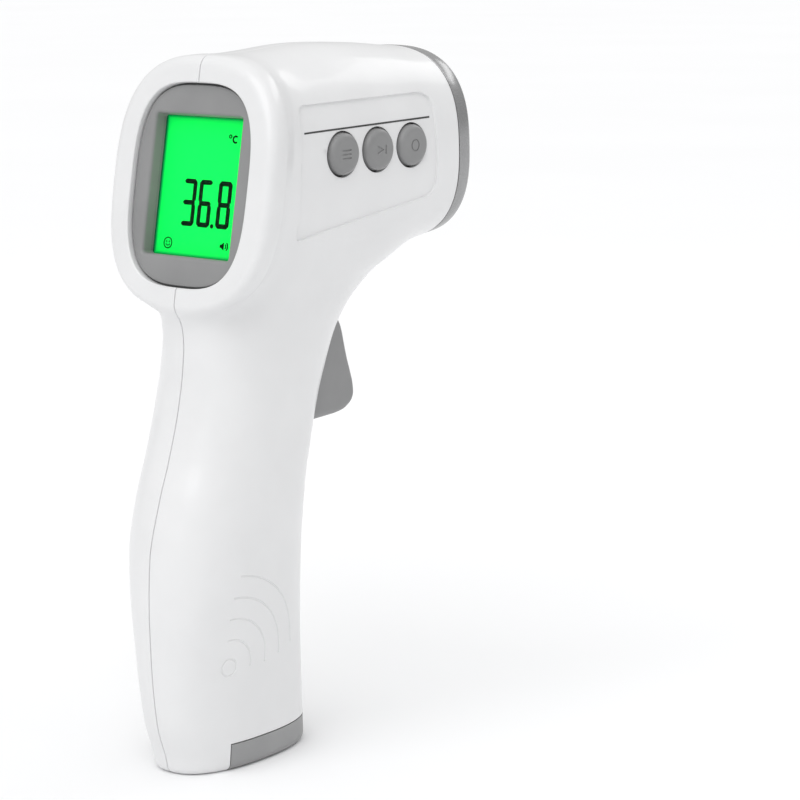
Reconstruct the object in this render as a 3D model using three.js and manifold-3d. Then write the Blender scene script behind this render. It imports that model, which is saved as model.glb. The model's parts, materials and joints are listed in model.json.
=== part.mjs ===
// Pistol-shaped infrared thermometer: two shell halves, a display in a raised rim, three side buttons,
// a trigger, a sensor nose, two AA cells in the grip and a hinged battery door.
// Millimetres. +X points out of the nose, +Y to the user's left, +Z up. The origin is on the resting
// surface, under the middle of the grip.
import * as THREE from 'three';
import { mergeVertices } from 'three/addons/utils/BufferGeometryUtils.js';
import Module from 'manifold-3d';

const wasm = await Module();
wasm.setup();

// ---------------------------------------------------------------- driving dimensions
const WALL = 2.0;
const SEAM_HALF_GAP = 0.08;
const GAP = 0.3;
const FAR = 120;
const RING_POINTS = 32;

// Display plane: centre, backward lean, and the window cut in the rim's face.
const DISPLAY = { x: -12.1, z: 134.7, lean: THREE.MathUtils.degToRad(10.1) };
const WINDOW = { halfWidth: 17.6, halfHeight: 23.0, power: 3.2 };

// Nose plane: centre, forward lean, and the outline that the nose ring carries on.
const NOSE = { x: 58.9, z: 140.0, lean: THREE.MathUtils.degToRad(-2.1) };
const NOSE_RING = { halfWidth: 22.65, halfHeight: 23.42, power: 2.62, depth: 5.1 };

// Head sections from the display plane to the nose plane.
const HEAD_SECTIONS = [
  { along: 0.0, halfWidth: 21.9, halfHeight: 26.5, lift: 0.0 },
  { along: 0.7, halfWidth: 23.5, halfHeight: 28.1, lift: 0.0 },
  { along: 2.2, halfWidth: 24.2, halfHeight: 28.8, lift: 0.0 },
  { along: 5.0, halfWidth: 24.0, halfHeight: 28.7, lift: 0.0 },
  { along: 8.0, halfWidth: 22.6, halfHeight: 28.3, lift: 0.1 },
  { along: 12.0, halfWidth: 21.1, halfHeight: 27.9, lift: 0.2 },
  { along: 18.0, halfWidth: 20.5, halfHeight: 27.5, lift: 0.4 },
  { along: 36.0, halfWidth: 20.95, halfHeight: 26.5, lift: 1.1 },
  { along: 54.0, halfWidth: 21.75, halfHeight: 25.2, lift: 0.6 },
  { along: 71.0, halfWidth: 22.5, halfHeight: 23.42, lift: 0.0 },
];
const HEAD_LENGTH = 71.0;
const RIM_POWER = 2.8;

// Grip sections from the base up into the head: back and front edge, half width.
const GRIP_SECTIONS = [
  { z: 0.0, back: -19.8, front: 19.8, halfWidth: 9.9 },
  { z: 0.5, back: -20.9, front: 20.8, halfWidth: 10.9 },
  { z: 1.8, back: -21.8, front: 21.2, halfWidth: 11.4 },
  { z: 12.3, back: -24.9, front: 20.7, halfWidth: 11.8 },
  { z: 26.0, back: -26.4, front: 19.6, halfWidth: 12.8 },
  { z: 40.3, back: -26.9, front: 18.5, halfWidth: 14.4 },
  { z: 51.0, back: -26.4, front: 18.2, halfWidth: 15.3 },
  { z: 63.7, back: -23.1, front: 18.9, halfWidth: 15.9 },
  { z: 73.3, back: -19.6, front: 20.8, halfWidth: 15.8 },
  { z: 84.0, back: -16.4, front: 23.6, halfWidth: 15.7 },
  { z: 92.9, back: -14.7, front: 27.6, halfWidth: 15.4 },
  { z: 98.8, back: -14.2, front: 30.8, halfWidth: 15.3 },
  { z: 104.6, back: -14.7, front: 35.6, halfWidth: 15.7 },
  { z: 110.8, back: -14.0, front: 43.6, halfWidth: 16.8 },
  { z: 115.2, back: -12.0, front: 54.0, halfWidth: 17.6 },
  { z: 119.0, back: -10.0, front: 56.0, halfWidth: 17.0 },
];
const GRIP_POWER = 2.4;
const GRIP_FLOOR = 1.9;

// Side panel on the -Y side: it flares forward, and carries the buttons.
const PANEL = { x: 18.05, y: -20.14, z: 140.65, flare: THREE.MathUtils.degToRad(2.38), sink: 0.6 };
const PANEL_CORNERS = [
  [4.0, 152.1], [46.4, 153.3], [49.6, 152.0], [50.3, 149.0],
  [51.2, 132.5], [50.4, 129.8], [47.8, 128.6], [2.4, 121.9],
];
const BUTTON = { radius: 4.85, proud: 1.3, spacing: 11.98, rise: THREE.MathUtils.degToRad(1.4) };
const BUTTON_NAMES = ['rear', 'middle', 'front'];
const BOARD_FACE = 8.9;
const BOARD_THICK = 1.6;

// Trigger: pivot, half width and back face.
const PIVOT = { x: 25.5, z: 101.5 };
const TRIGGER_HALF_WIDTH = 7.0;
const TRIGGER_BOSS_RADIUS = 2.8;
const TRIGGER_PIN_RADIUS = 1.0;
const TRIGGER_BACK = 18.2;

// Batteries: two AA cells side by side, one each way up.
const CELL = { radius: 7.25, bottom: 9.0, length: 50.5, nubRadius: 2.75, nubHeight: 1.0 };
const CELL_X = { front: 7.8, rear: -7.2 };

// Battery door and its hinge.
const DOOR = { back: -11.7, top: 6.7, tongueHalfWidth: 5.5, floor: 1.8 };
const HINGE = { x: -15.5, z: 1.5, barrelRadius: 1.45, pinRadius: 0.75, pinHalfLength: 7.2 };

// Case screws run along Y, their heads sunk in the +Y half.
const SCREW_SEAT = 5.0;
const SCREW_SPOTS = [
  { x: 50.0, z: 157.2 },
  { x: 47.5, z: 120.4 },
  { x: -5.5, z: 97.0 },
  { x: -3.0, z: 70.0 },
  { x: -20.2, z: 38.0 },
];

// ---------------------------------------------------------------- colours and finishes
const FINISH = {
  shell: { color: 0xeeeeee, roughness: 0.35, metalness: 0.0 },
  grey: { color: 0x97999b, roughness: 0.5, metalness: 0.0 },
  silver: { color: 0xa9abad, roughness: 0.35, metalness: 0.3 },
  dark: { color: 0x3a3c3e, roughness: 0.6, metalness: 0.0 },
  clear: { color: 0xdfe6e6, roughness: 0.05, metalness: 0.0 },
  lcd: { color: 0x10f04a, roughness: 0.3, metalness: 0.0 },
  diffuser: { color: 0xd8f5dc, roughness: 0.6, metalness: 0.0 },
  board: { color: 0x1d6b3a, roughness: 0.5, metalness: 0.0 },
  chip: { color: 0x1b1b1d, roughness: 0.5, metalness: 0.0 },
  steel: { color: 0xb9bcc0, roughness: 0.3, metalness: 1.0 },
  spring: { color: 0xa8a9aa, roughness: 0.3, metalness: 1.0 },
  cell: { color: 0x2f4a7d, roughness: 0.4, metalness: 0.2 },
  ribbon: { color: 0xd9d4c4, roughness: 0.6, metalness: 0.0 },
  cradle: { color: 0xc9cac8, roughness: 0.6, metalness: 0.0 },
};

const thermometer = new THREE.Group();

function addPart(name, geometry, finish, parent = thermometer) {
  const mesh = new THREE.Mesh(geometry, new THREE.MeshStandardMaterial(finish));
  mesh.name = name;
  parent.add(mesh);
  return mesh;
}

// ---------------------------------------------------------------- solids
function toSolid(geometry) {
  const bare = geometry.clone();
  bare.deleteAttribute('normal');
  bare.deleteAttribute('uv');
  const merged = mergeVertices(bare, 1e-4);
  const corners = merged.index.array;
  const faces = [];
  for (let i = 0; i < corners.length; i += 3) {
    const [a, b, c] = [corners[i], corners[i + 1], corners[i + 2]];
    if (a !== b && b !== c && c !== a) {
      faces.push(a, b, c);
    }
  }
  const mesh = new wasm.Mesh({
    numProp: 3,
    vertProperties: new Float32Array(merged.attributes.position.array),
    triVerts: new Uint32Array(faces),
  });
  return new wasm.Manifold(mesh);
}

function toGeometry(solid) {
  const mesh = solid.getMesh();
  const geometry = new THREE.BufferGeometry();
  geometry.setAttribute('position', new THREE.BufferAttribute(new Float32Array(mesh.vertProperties), 3));
  geometry.setIndex(new THREE.BufferAttribute(new Uint32Array(mesh.triVerts), 1));
  geometry.computeVertexNormals();
  return geometry;
}

const joined = (first, ...others) => others.reduce((total, solid) => total.add(solid), first);
const cutBy = (first, ...others) => others.reduce((total, solid) => total.subtract(solid), first);

function boxGeometry(x0, x1, y0, y1, z0, z1) {
  const geometry = new THREE.BoxGeometry(x1 - x0, y1 - y0, z1 - z0);
  geometry.translate((x0 + x1) / 2, (y0 + y1) / 2, (z0 + z1) / 2);
  return geometry;
}
const box = (...limits) => toSolid(boxGeometry(...limits));

function rodAlongX(radius, x0, x1, y, z, sides = 24) {
  const geometry = new THREE.CylinderGeometry(radius, radius, x1 - x0, sides);
  geometry.rotateZ(-Math.PI / 2);
  geometry.translate((x0 + x1) / 2, y, z);
  return toSolid(geometry);
}

function rodAlongY(radius, y0, y1, x, z, sides = 24) {
  const geometry = new THREE.CylinderGeometry(radius, radius, y1 - y0, sides);
  geometry.translate(x, (y0 + y1) / 2, z);
  return toSolid(geometry);
}

// A turned solid about the Z axis from [radius, height] pairs; the profile starts and ends on the axis.
function turned(profile, sides = 24) {
  const points = profile.map(([r, h]) => new THREE.Vector2(r, h));
  return toSolid(new THREE.LatheGeometry(points, sides).rotateX(Math.PI / 2));
}

// The same, about the X axis, pointing along +X.
function turnedAlongX(profile, sides = 32) {
  const points = profile.map(([x, r]) => new THREE.Vector2(r, x));
  return toSolid(new THREE.LatheGeometry(points, sides).rotateZ(-Math.PI / 2));
}

// A flat outline in the XZ plane pushed along Y from y0 to y1.
function plateAlongY(outline, y0, y1) {
  const options = { depth: y1 - y0, bevelEnabled: false, curveSegments: 8 };
  const geometry = new THREE.ExtrudeGeometry(outline, options);
  geometry.rotateX(Math.PI / 2);
  geometry.translate(0, y1, 0);
  return toSolid(geometry);
}

// Distance from the centre of a superellipse to its edge, at an angle from its first half axis.
function superellipseReach(halfA, halfB, power, angle) {
  const a = Math.abs(Math.cos(angle) / halfA) ** power;
  const b = Math.abs(Math.sin(angle) / halfB) ** power;
  return (a + b) ** (-1 / power);
}

// A closed body through rings of matching points, with a flat fan at each end.
function loft(rings) {
  const points = [];
  const faces = [];
  const count = rings[0].length;
  rings.forEach((ring) => ring.forEach((p) => points.push(p.x, p.y, p.z)));
  for (let level = 0; level < rings.length - 1; level += 1) {
    for (let i = 0; i < count; i += 1) {
      const a = level * count + i;
      const b = level * count + ((i + 1) % count);
      faces.push(a, b, b + count, a, b + count, a + count);
    }
  }
  const last = (rings.length - 1) * count;
  const middles = [rings[0], rings[rings.length - 1]].map((ring) => {
    const middle = new THREE.Vector3();
    ring.forEach((p) => middle.addScaledVector(p, 1 / count));
    points.push(middle.x, middle.y, middle.z);
    return points.length / 3 - 1;
  });
  for (let i = 0; i < count; i += 1) {
    const next = (i + 1) % count;
    faces.push(middles[0], next, i);
    faces.push(middles[1], last + i, last + next);
  }
  const geometry = new THREE.BufferGeometry();
  geometry.setAttribute('position', new THREE.BufferAttribute(new Float32Array(points), 3));
  geometry.setIndex(faces);
  return toSolid(geometry);
}

// One upright ring of the head or nose: its plane leans, and local Y and up span it.
function uprightRing(x, z, lean, halfWidth, halfHeight, power, count = RING_POINTS) {
  const up = new THREE.Vector3(Math.sin(lean), 0, Math.cos(lean));
  const ring = [];
  for (let i = 0; i < count; i += 1) {
    const angle = ((i + 0.5) / count) * Math.PI * 2;
    const reach = superellipseReach(halfWidth, halfHeight, power, angle);
    const rise = reach * Math.sin(angle);
    ring.push(new THREE.Vector3(x + up.x * rise, reach * Math.cos(angle), z + up.z * rise));
  }
  return ring;
}

function levelRing(section, inset, z, count = RING_POINTS) {
  const middle = (section.back + section.front) / 2;
  const halfLength = (section.front - section.back) / 2 - inset;
  const ring = [];
  for (let i = 0; i < count; i += 1) {
    const angle = ((i + 0.5) / count) * Math.PI * 2;
    const reach = superellipseReach(halfLength, section.halfWidth - inset, GRIP_POWER, angle);
    ring.push(new THREE.Vector3(middle + reach * Math.cos(angle), reach * Math.sin(angle), z));
  }
  return ring;
}

// ---------------------------------------------------------------- shell halves
function headSolid(inset, from, beyond) {
  const mix = THREE.MathUtils.lerp;
  const rings = [];
  HEAD_SECTIONS.filter((section) => section.along >= from).forEach((section) => {
    const share = section.along / HEAD_LENGTH;
    const x = mix(DISPLAY.x, NOSE.x, share);
    const z = mix(DISPLAY.z, NOSE.z, share) + section.lift;
    const lean = mix(DISPLAY.lean, NOSE.lean, share);
    const power = mix(RIM_POWER, NOSE_RING.power, share);
    rings.push(uprightRing(x, z, lean, section.halfWidth - inset, section.halfHeight - inset, power));
  });
  if (beyond > 0) {
    rings.push(rings[rings.length - 1].map((p) => p.clone().add(new THREE.Vector3(beyond, 0, 0))));
  }
  return loft(rings);
}

function gripSolid(inset, floor) {
  const rings = [];
  if (floor > 0) {
    rings.push(levelRing(GRIP_SECTIONS[2], inset, floor));
  }
  GRIP_SECTIONS.filter((section) => section.z > floor || floor === 0).forEach((section) => {
    rings.push(levelRing(section, inset, section.z));
  });
  return loft(rings);
}

const outerBody = joined(headSolid(0, 0, 0), gripSolid(0, 0));
const cavity = joined(headSolid(WALL, 2.2, 3), gripSolid(WALL, GRIP_FLOOR));

// Solids shaped in the display's, nose's or panel's own frame are turned into the object's frame with these.
function frameMatrix(x, y, z, turnY, turnZ) {
  const matrix = new THREE.Matrix4().makeRotationFromEuler(new THREE.Euler(0, turnY, turnZ, 'ZYX'));
  return matrix.setPosition(x, y, z);
}
const displayFrame = frameMatrix(DISPLAY.x, 0, DISPLAY.z, DISPLAY.lean, 0);
const noseFrame = frameMatrix(NOSE.x, 0, NOSE.z, NOSE.lean, 0);
const panelFrame = frameMatrix(PANEL.x, PANEL.y, PANEL.z, 0, -PANEL.flare);
const turnedInto = (solid, frame) => toSolid(toGeometry(solid).applyMatrix4(frame));

function groupAt(frame) {
  const group = new THREE.Group();
  group.applyMatrix4(frame);
  thermometer.add(group);
  return group;
}

const buttonSpot = (index) => ({
  x: BUTTON.spacing * index * Math.cos(BUTTON.rise),
  z: BUTTON.spacing * index * Math.sin(BUTTON.rise),
});

// A slab in the display's or nose's frame: a superellipse outline between two depths along local X.
function ovalSlab(halfWidth, halfHeight, power, x0, x1, count = RING_POINTS) {
  return loft([
    uprightRing(x0, 0, 0, halfWidth, halfHeight, power, count),
    uprightRing(x1, 0, 0, halfWidth, halfHeight, power, count),
  ]);
}

const windowSlab = ovalSlab(WINDOW.halfWidth, WINDOW.halfHeight, WINDOW.power, -2, 4);
const windowCut = turnedInto(windowSlab, displayFrame);

const panelOutline = new THREE.Shape(PANEL_CORNERS.map(([x, z]) => new THREE.Vector2(x, z)));
const panelPrism = plateAlongY(panelOutline, -30, -12);
const panelRecess = cutBy(panelPrism, headSolid(PANEL.sink, 0, 0));

const buttonHoles = BUTTON_NAMES.map((name, index) => {
  const spot = buttonSpot(index);
  return turnedInto(rodAlongY(BUTTON.radius + GAP, -6, 4, spot.x, spot.z, 28), panelFrame);
});

const triggerSlotHalfWidth = TRIGGER_HALF_WIDTH + 0.4;
const triggerSlot = box(17, 52, -triggerSlotHalfWidth, triggerSlotHalfWidth, 75.4, 103.0);
const triggerPinHole = rodAlongY(TRIGGER_PIN_RADIUS + 0.05, -9.7, 9.7, PIVOT.x, PIVOT.z);

const doorCut = box(DOOR.back, 40, -20, 20, -5, DOOR.top);
const tongueCutHalfWidth = DOOR.tongueHalfWidth + GAP;
const tongueCut = box(-17.6, DOOR.back + 1, -tongueCutHalfWidth, tongueCutHalfWidth, -5, 4.5);
const hingePinHole = rodAlongY(HINGE.pinRadius + 0.05, -7.5, 7.5, HINGE.x, HINGE.z);

function screwBosses() {
  return SCREW_SPOTS.map(({ x, z }) => rodAlongY(3.3, -FAR, FAR, x, z, 14));
}

function triggerPinBosses() {
  return [-1, 1].map((side) => {
    const near = side * (triggerSlotHalfWidth + 0.1);
    const far = side * 20;
    return rodAlongY(2.6, Math.min(near, far), Math.max(near, far), PIVOT.x, PIVOT.z, 14);
  });
}

const hingeBlock = box(-19.5, -13.4, -8.2, 8.2, 0, 4.2);
const innerFittings = joined(...screwBosses(), ...triggerPinBosses(), hingeBlock);
const walls = joined(outerBody.subtract(cavity), innerFittings.intersect(outerBody));

const screwCuts = SCREW_SPOTS.flatMap(({ x, z }) => [
  rodAlongY(2.5, SCREW_SEAT, FAR, x, z, 14),
  rodAlongY(1.25, 0, SCREW_SEAT + 1, x, z, 12),
  rodAlongY(1.1, -6.6, 1, x, z, 12),
]);

const bothHalves = cutBy(
  walls,
  windowCut,
  panelRecess,
  ...buttonHoles,
  triggerSlot,
  triggerPinHole,
  doorCut,
  tongueCut,
  hingePinHole,
  ...screwCuts,
);

const rightSide = box(-FAR, FAR, -FAR, -SEAM_HALF_GAP, -FAR, 2 * FAR);
const leftSide = box(-FAR, FAR, SEAM_HALF_GAP, FAR, -FAR, 2 * FAR);
addPart('right_shell', toGeometry(bothHalves.intersect(rightSide)), FINISH.shell);
addPart('left_shell', toGeometry(bothHalves.intersect(leftSide)), FINISH.shell);

// ---------------------------------------------------------------- display, in the display's frame
// Local X is the depth behind the rim's face, local Z runs up the display.
const LCD = { halfWidth: 13.0, halfHeight: 15.9 };
const BEZEL_FRONT = 1.2;
const BEZEL_BACK = 4.9;
const BEZEL_GAP = 0.35;
const display = groupAt(displayFrame);

// A rectangular slab centred on the display, reaching a margin beyond the visible part of the LCD.
function displaySlab(margin, x0, x1) {
  const halfWidth = LCD.halfWidth + margin;
  const halfHeight = LCD.halfHeight + margin;
  return boxGeometry(x0, x1, -halfWidth, halfWidth, -halfHeight, halfHeight);
}

const bezelSolid = cutBy(
  joined(
    ovalSlab(WINDOW.halfWidth - BEZEL_GAP, WINDOW.halfHeight - BEZEL_GAP, WINDOW.power, BEZEL_FRONT, 3.0),
    ovalSlab(WINDOW.halfWidth + 1.6, WINDOW.halfHeight + 1.6, WINDOW.power, 2.6, BEZEL_BACK),
  ),
  toSolid(displaySlab(0, 0, 8)),
);
addPart('display_bezel', toGeometry(bezelSolid), FINISH.grey, display);
addPart('display_lens', displaySlab(-0.2, 3.8, 4.6), FINISH.clear, display);
addPart('lcd_panel', displaySlab(1.0, 5.2, 6.8), FINISH.lcd, display);
addPart('backlight_diffuser', displaySlab(1.4, 7.1, 9.1), FINISH.diffuser, display);
addPart('display_board', boxGeometry(9.4, 11.0, -14.2, 14.2, -17.8, 19.3), FINISH.board, display);

// ---------------------------------------------------------------- nose, in the nose's frame
// Local X runs out of the nose from the shell's front edge.
const nose = groupAt(noseFrame);

function noseRingSolid() {
  const { halfWidth, halfHeight, power, depth } = NOSE_RING;
  const band = loft([
    uprightRing(GAP, 0, 0, halfWidth, halfHeight, power),
    uprightRing(depth - 1.5, 0, 0, halfWidth - 0.2, halfHeight - 0.2, power),
    uprightRing(depth - 0.4, 0, 0, halfWidth - 0.9, halfHeight - 0.9, power),
    uprightRing(depth, 0, 0, halfWidth - 1.8, halfHeight - 1.8, power),
  ]);
  const spigot = ovalSlab(halfWidth - WALL - 0.6, halfHeight - WALL - 0.45, power, -4, 1);
  const hole = ovalSlab(halfWidth - 4.4, halfHeight - 4.4, power, -6, 8);
  return cutBy(joined(band, spigot), hole);
}
addPart('nose_ring', toGeometry(noseRingSolid()), FINISH.silver, nose);

const plate = ovalSlab(NOSE_RING.halfWidth - 4.7, NOSE_RING.halfHeight - 4.7, NOSE_RING.power, -1.2, 3.4);
const funnel = turnedAlongX([[-0.2, 0], [-0.2, 8.5], [3.5, 15.5], [6, 15.5], [6, 0]]);
const tubeHole = rodAlongX(6.5, -3, 6, 0, 0, 32);
addPart('nose_plate', toGeometry(cutBy(plate, funnel, tubeHole)), FINISH.dark, nose);

const tubeBore = turnedAlongX([[-14, 0], [-14, 4.2], [2, 5.4], [2, 0]]);
const tubeSolid = cutBy(rodAlongX(6.2, -13, 0.6, 0, 0, 32), tubeBore);
addPart('sensor_tube', toGeometry(tubeSolid), FINISH.steel, nose);

const holderSolid = cutBy(
  rodAlongX(7.6, -18.6, -8.5, 0, 0, 32),
  rodAlongX(6.5, -17, -8, 0, 0, 32),
  rodAlongX(2.2, -20, -16, 0, 0, 16),
);
addPart('sensor_holder', toGeometry(holderSolid), FINISH.dark, nose);

const canProfile = [[-16.7, 0], [-16.7, 4.6], [-16.1, 4.6], [-16.1, 4.1], [-13.3, 4.1], [-13.3, 0]];
addPart('thermopile_sensor', toGeometry(turnedAlongX(canProfile, 24)), FINISH.steel, nose);

// ---------------------------------------------------------------- buttons and main board
// In the panel's frame: local X runs along the panel, and local Y into the object from its surface.
const panel = groupAt(panelFrame);

BUTTON_NAMES.forEach((name, index) => {
  const spot = buttonSpot(index);
  const cap = turned([
    [0, -BUTTON.proud], [BUTTON.radius - 0.65, -BUTTON.proud], [BUTTON.radius - 0.1, -BUTTON.proud + 0.35],
    [BUTTON.radius, -BUTTON.proud + 1.0], [BUTTON.radius, 2.2],
    [5.8, 2.2], [5.8, 3.0], [1.5, 3.0], [1.5, 4.7], [0, 4.7],
  ]);
  const geometry = toGeometry(cap).rotateX(-Math.PI / 2);
  const mesh = addPart(`${name}_button`, geometry, FINISH.grey, panel);
  mesh.position.set(spot.x, 0, spot.z);

  const switchBody = box(-3, 3, BOARD_FACE - 0.05 - 2.4, BOARD_FACE - 0.05, -3, 3);
  const plunger = rodAlongY(1.6, 5.65, BOARD_FACE - 1, 0, 0, 16);
  const tact = addPart(`${name}_tact_switch`, toGeometry(joined(switchBody, plunger)), FINISH.chip, panel);
  tact.position.set(spot.x, 0, spot.z);
});

const boardBack = BOARD_FACE + BOARD_THICK;
addPart('main_board', boxGeometry(-11.5, 31.5, BOARD_FACE, boardBack, -16.4, 12.2), FINISH.board, panel);

function chipSolid() {
  const body = box(-9, 1, boardBack + 0.05, boardBack + 1.7, -13, -3);
  const legs = [];
  for (let i = 0; i < 6; i += 1) {
    const z = -12.2 + i * 1.6;
    legs.push(box(-10.2, 2.2, boardBack + 0.05, boardBack + 0.5, z, z + 0.6));
  }
  return joined(body, ...legs);
}
addPart('control_chip', toGeometry(chipSolid()), FINISH.chip, panel);

const buzzerCan = cutBy(
  rodAlongY(6, boardBack + 0.05, boardBack + 4.6, 12, -8, 28),
  rodAlongY(1.2, boardBack + 2, boardBack + 6, 12, -8, 16),
);
addPart('buzzer', toGeometry(buzzerCan), FINISH.chip, panel);
addPart('capacitor', toGeometry(rodAlongX(2.5, 2, 10, boardBack + 2.6, 6, 20)), FINISH.cell, panel);

// ---------------------------------------------------------------- cables inside
const cableRun = new THREE.CatmullRomCurve3([
  new THREE.Vector3(39.4, 0, 139.3),
  new THREE.Vector3(37.0, -0.5, 139.0),
  new THREE.Vector3(35.6, -4.0, 139.6),
  new THREE.Vector3(35.8, -8.2, 141.0),
]);
function roundSection(radius, sides) {
  const corners = [];
  for (let i = 0; i < sides; i += 1) {
    const angle = (i / sides) * Math.PI * 2;
    corners.push(new THREE.Vector2(radius * Math.cos(angle), radius * Math.sin(angle)));
  }
  return new THREE.Shape(corners);
}
const cableOptions = { steps: 12, bevelEnabled: false, extrudePath: cableRun };
const sensorCable = new THREE.ExtrudeGeometry(roundSection(1.0, 8), cableOptions);
addPart('sensor_cable', toGeometry(toSolid(sensorCable)), FINISH.dark);

// The ribbon is a thin strip bent in plan, joining the display board to the main board.
function ribbonSolid() {
  const run = new THREE.QuadraticBezierCurve(
    new THREE.Vector2(0.3, -6.0),
    new THREE.Vector2(5.4, -6.0),
    new THREE.Vector2(8.2, -8.6),
  );
  const points = run.getPoints(8);
  const halfThick = 0.2;
  const left = [];
  const right = [];
  points.forEach((p, i) => {
    const t = run.getTangent(i / 8);
    left.push(new THREE.Vector2(p.x - t.y * halfThick, p.y + t.x * halfThick));
    right.push(new THREE.Vector2(p.x + t.y * halfThick, p.y - t.x * halfThick));
  });
  const outline = new THREE.Shape([...left, ...right.reverse()]);
  const geometry = new THREE.ExtrudeGeometry(outline, { depth: 9, bevelEnabled: false });
  geometry.translate(0, 0, 128);
  return toSolid(geometry);
}
addPart('display_ribbon', toGeometry(ribbonSolid()), FINISH.ribbon);

// ---------------------------------------------------------------- trigger
function triggerOutline() {
  const shape = new THREE.Shape();
  shape.moveTo(28.4, 102.8);
  shape.quadraticCurveTo(33.2, 101.4, 34.4, 97.6);
  shape.lineTo(36.3, 90.6);
  shape.lineTo(38.6, 83.8);
  shape.quadraticCurveTo(39.5, 80.3, 36.6, 78.3);
  shape.quadraticCurveTo(34.9, 77.3, 32.4, 77.0);
  shape.lineTo(TRIGGER_BACK + 1.5, 76.4);
  shape.lineTo(TRIGGER_BACK, 78.0);
  shape.lineTo(TRIGGER_BACK, 94.0);
  shape.absarc(PIVOT.x, PIVOT.z, TRIGGER_BOSS_RADIUS, Math.PI, Math.PI / 2, true);
  return shape;
}
const springNotchHalf = 3.2;
const triggerSolid = cutBy(
  plateAlongY(triggerOutline(), -TRIGGER_HALF_WIDTH, TRIGGER_HALF_WIDTH),
  rodAlongY(TRIGGER_PIN_RADIUS + 0.05, -10, 10, PIVOT.x, PIVOT.z),
  box(10, PIVOT.x + 3.4, -springNotchHalf, springNotchHalf, PIVOT.z - 3.4, PIVOT.z + 6),
);
addPart('trigger', toGeometry(triggerSolid), FINISH.grey);
addPart('trigger_pin', toGeometry(rodAlongY(TRIGGER_PIN_RADIUS, -9.4, 9.4, PIVOT.x, PIVOT.z)), FINISH.steel);

// A wire bent round a list of points, with a round section.
function wire(points, radius, steps, sides = 6) {
  const path = new THREE.CatmullRomCurve3(points, false, 'centripetal');
  const options = { steps, bevelEnabled: false, extrudePath: path };
  return toSolid(new THREE.ExtrudeGeometry(roundSection(radius, sides), options));
}

// Torsion coil round the pin, with one leg back over the cavity and one down towards the trigger.
function triggerSpringSolid() {
  const coilRadius = 1.75;
  const turns = 3.25;
  const points = [
    new THREE.Vector3(PIVOT.x - 9.0, -2.4, PIVOT.z + 0.6),
    new THREE.Vector3(PIVOT.x - 4.5, -2.4, PIVOT.z + 1.6),
  ];
  const perTurn = 8;
  const total = Math.round(turns * perTurn);
  for (let i = 0; i <= total; i += 1) {
    const angle = Math.PI / 2 - (i / perTurn) * Math.PI * 2;
    points.push(new THREE.Vector3(
      PIVOT.x + coilRadius * Math.cos(angle),
      -2.4 + (4.8 * i) / total,
      PIVOT.z + coilRadius * Math.sin(angle),
    ));
  }
  return wire(points, 0.32, 44, 5);
}
addPart('trigger_spring', toGeometry(triggerSpringSolid()), FINISH.spring);

const triggerSwitch = joined(box(11.5, 14.6, -3, 3, 85, 91), rodAlongX(1.5, 14, 16.2, 0, 88, 16));
addPart('trigger_switch', toGeometry(triggerSwitch), FINISH.chip);
addPart('trigger_board', boxGeometry(9.8, 11.4, -6.5, 6.5, 79, 97), FINISH.board);

// ---------------------------------------------------------------- batteries
function cellSolid() {
  const { radius, length, nubRadius, nubHeight } = CELL;
  const shoulder = length - nubHeight;
  return turned([[0, 0], [radius - 0.5, 0], [radius, 0.5], [radius, shoulder - 0.5], [radius - 0.5, shoulder],
    [nubRadius, shoulder], [nubRadius, length], [0, length]], 28);
}
const frontCell = addPart('battery_cell_front', toGeometry(cellSolid()), FINISH.cell);
frontCell.position.set(CELL_X.front, 0, CELL.bottom);
const rearCell = addPart('battery_cell_rear', toGeometry(cellSolid()), FINISH.cell);
rearCell.position.set(CELL_X.rear, 0, CELL.bottom + CELL.length);
rearCell.rotation.x = Math.PI;

// An upright outline with round ends, reaching radius beyond the two cell centres.
function cellPairOutline(radius, path = new THREE.Shape()) {
  path.moveTo(CELL_X.rear, -radius);
  path.absarc(CELL_X.front, 0, radius, -Math.PI / 2, Math.PI / 2, false);
  path.absarc(CELL_X.rear, 0, radius, Math.PI / 2, Math.PI * 1.5, false);
  return path;
}
const cradleOutline = cellPairOutline(CELL.radius + 0.8);
cradleOutline.holes.push(cellPairOutline(CELL.radius + 0.2, new THREE.Path()));
const cradleOptions = { depth: 52, bevelEnabled: false, curveSegments: 12 };
const cradle = new THREE.ExtrudeGeometry(cradleOutline, cradleOptions);
cradle.translate(0, 0, 9.4);
addPart('battery_cradle', toGeometry(toSolid(cradle)), FINISH.cradle);

// A conical contact spring standing on z0, narrowing upward.
function conicalSpring(x, z0, z1, turns, footRadius, tipRadius) {
  const perTurn = 8;
  const total = turns * perTurn;
  const points = [];
  for (let i = 0; i <= total; i += 1) {
    const share = i / total;
    const angle = (i / perTurn) * Math.PI * 2;
    const radius = THREE.MathUtils.lerp(footRadius, tipRadius, share);
    const height = THREE.MathUtils.lerp(z0, z1, share);
    points.push(new THREE.Vector3(x + radius * Math.cos(angle), radius * Math.sin(angle), height));
  }
  return wire(points, 0.4, total + 4, 5);
}

const cellTop = CELL.bottom + CELL.length;
const tab = (x0, x1) => box(x0, x1, -2.5, 2.5, cellTop + 2.9, cellTop + 3.3);
addPart(
  'upper_flat_contact',
  toGeometry(joined(
    box(CELL_X.front - 5, CELL_X.front + 5, -5, 5, cellTop + 0.15, cellTop + 0.55),
    box(CELL_X.front - 5, CELL_X.front - 4.6, -2.5, 2.5, cellTop + 0.3, cellTop + 3.3),
    tab(CELL_X.front - 5, CELL_X.front + 1),
  )),
  FINISH.steel,
);
addPart(
  'upper_spring_contact',
  toGeometry(joined(
    box(CELL_X.rear - 5, CELL_X.rear + 5, -5, 5, cellTop + 2.9, cellTop + 3.3),
    conicalSpring(CELL_X.rear, cellTop + 3.0, cellTop + 0.6, 2, 4, 2.4),
  )),
  FINISH.spring,
);

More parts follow.
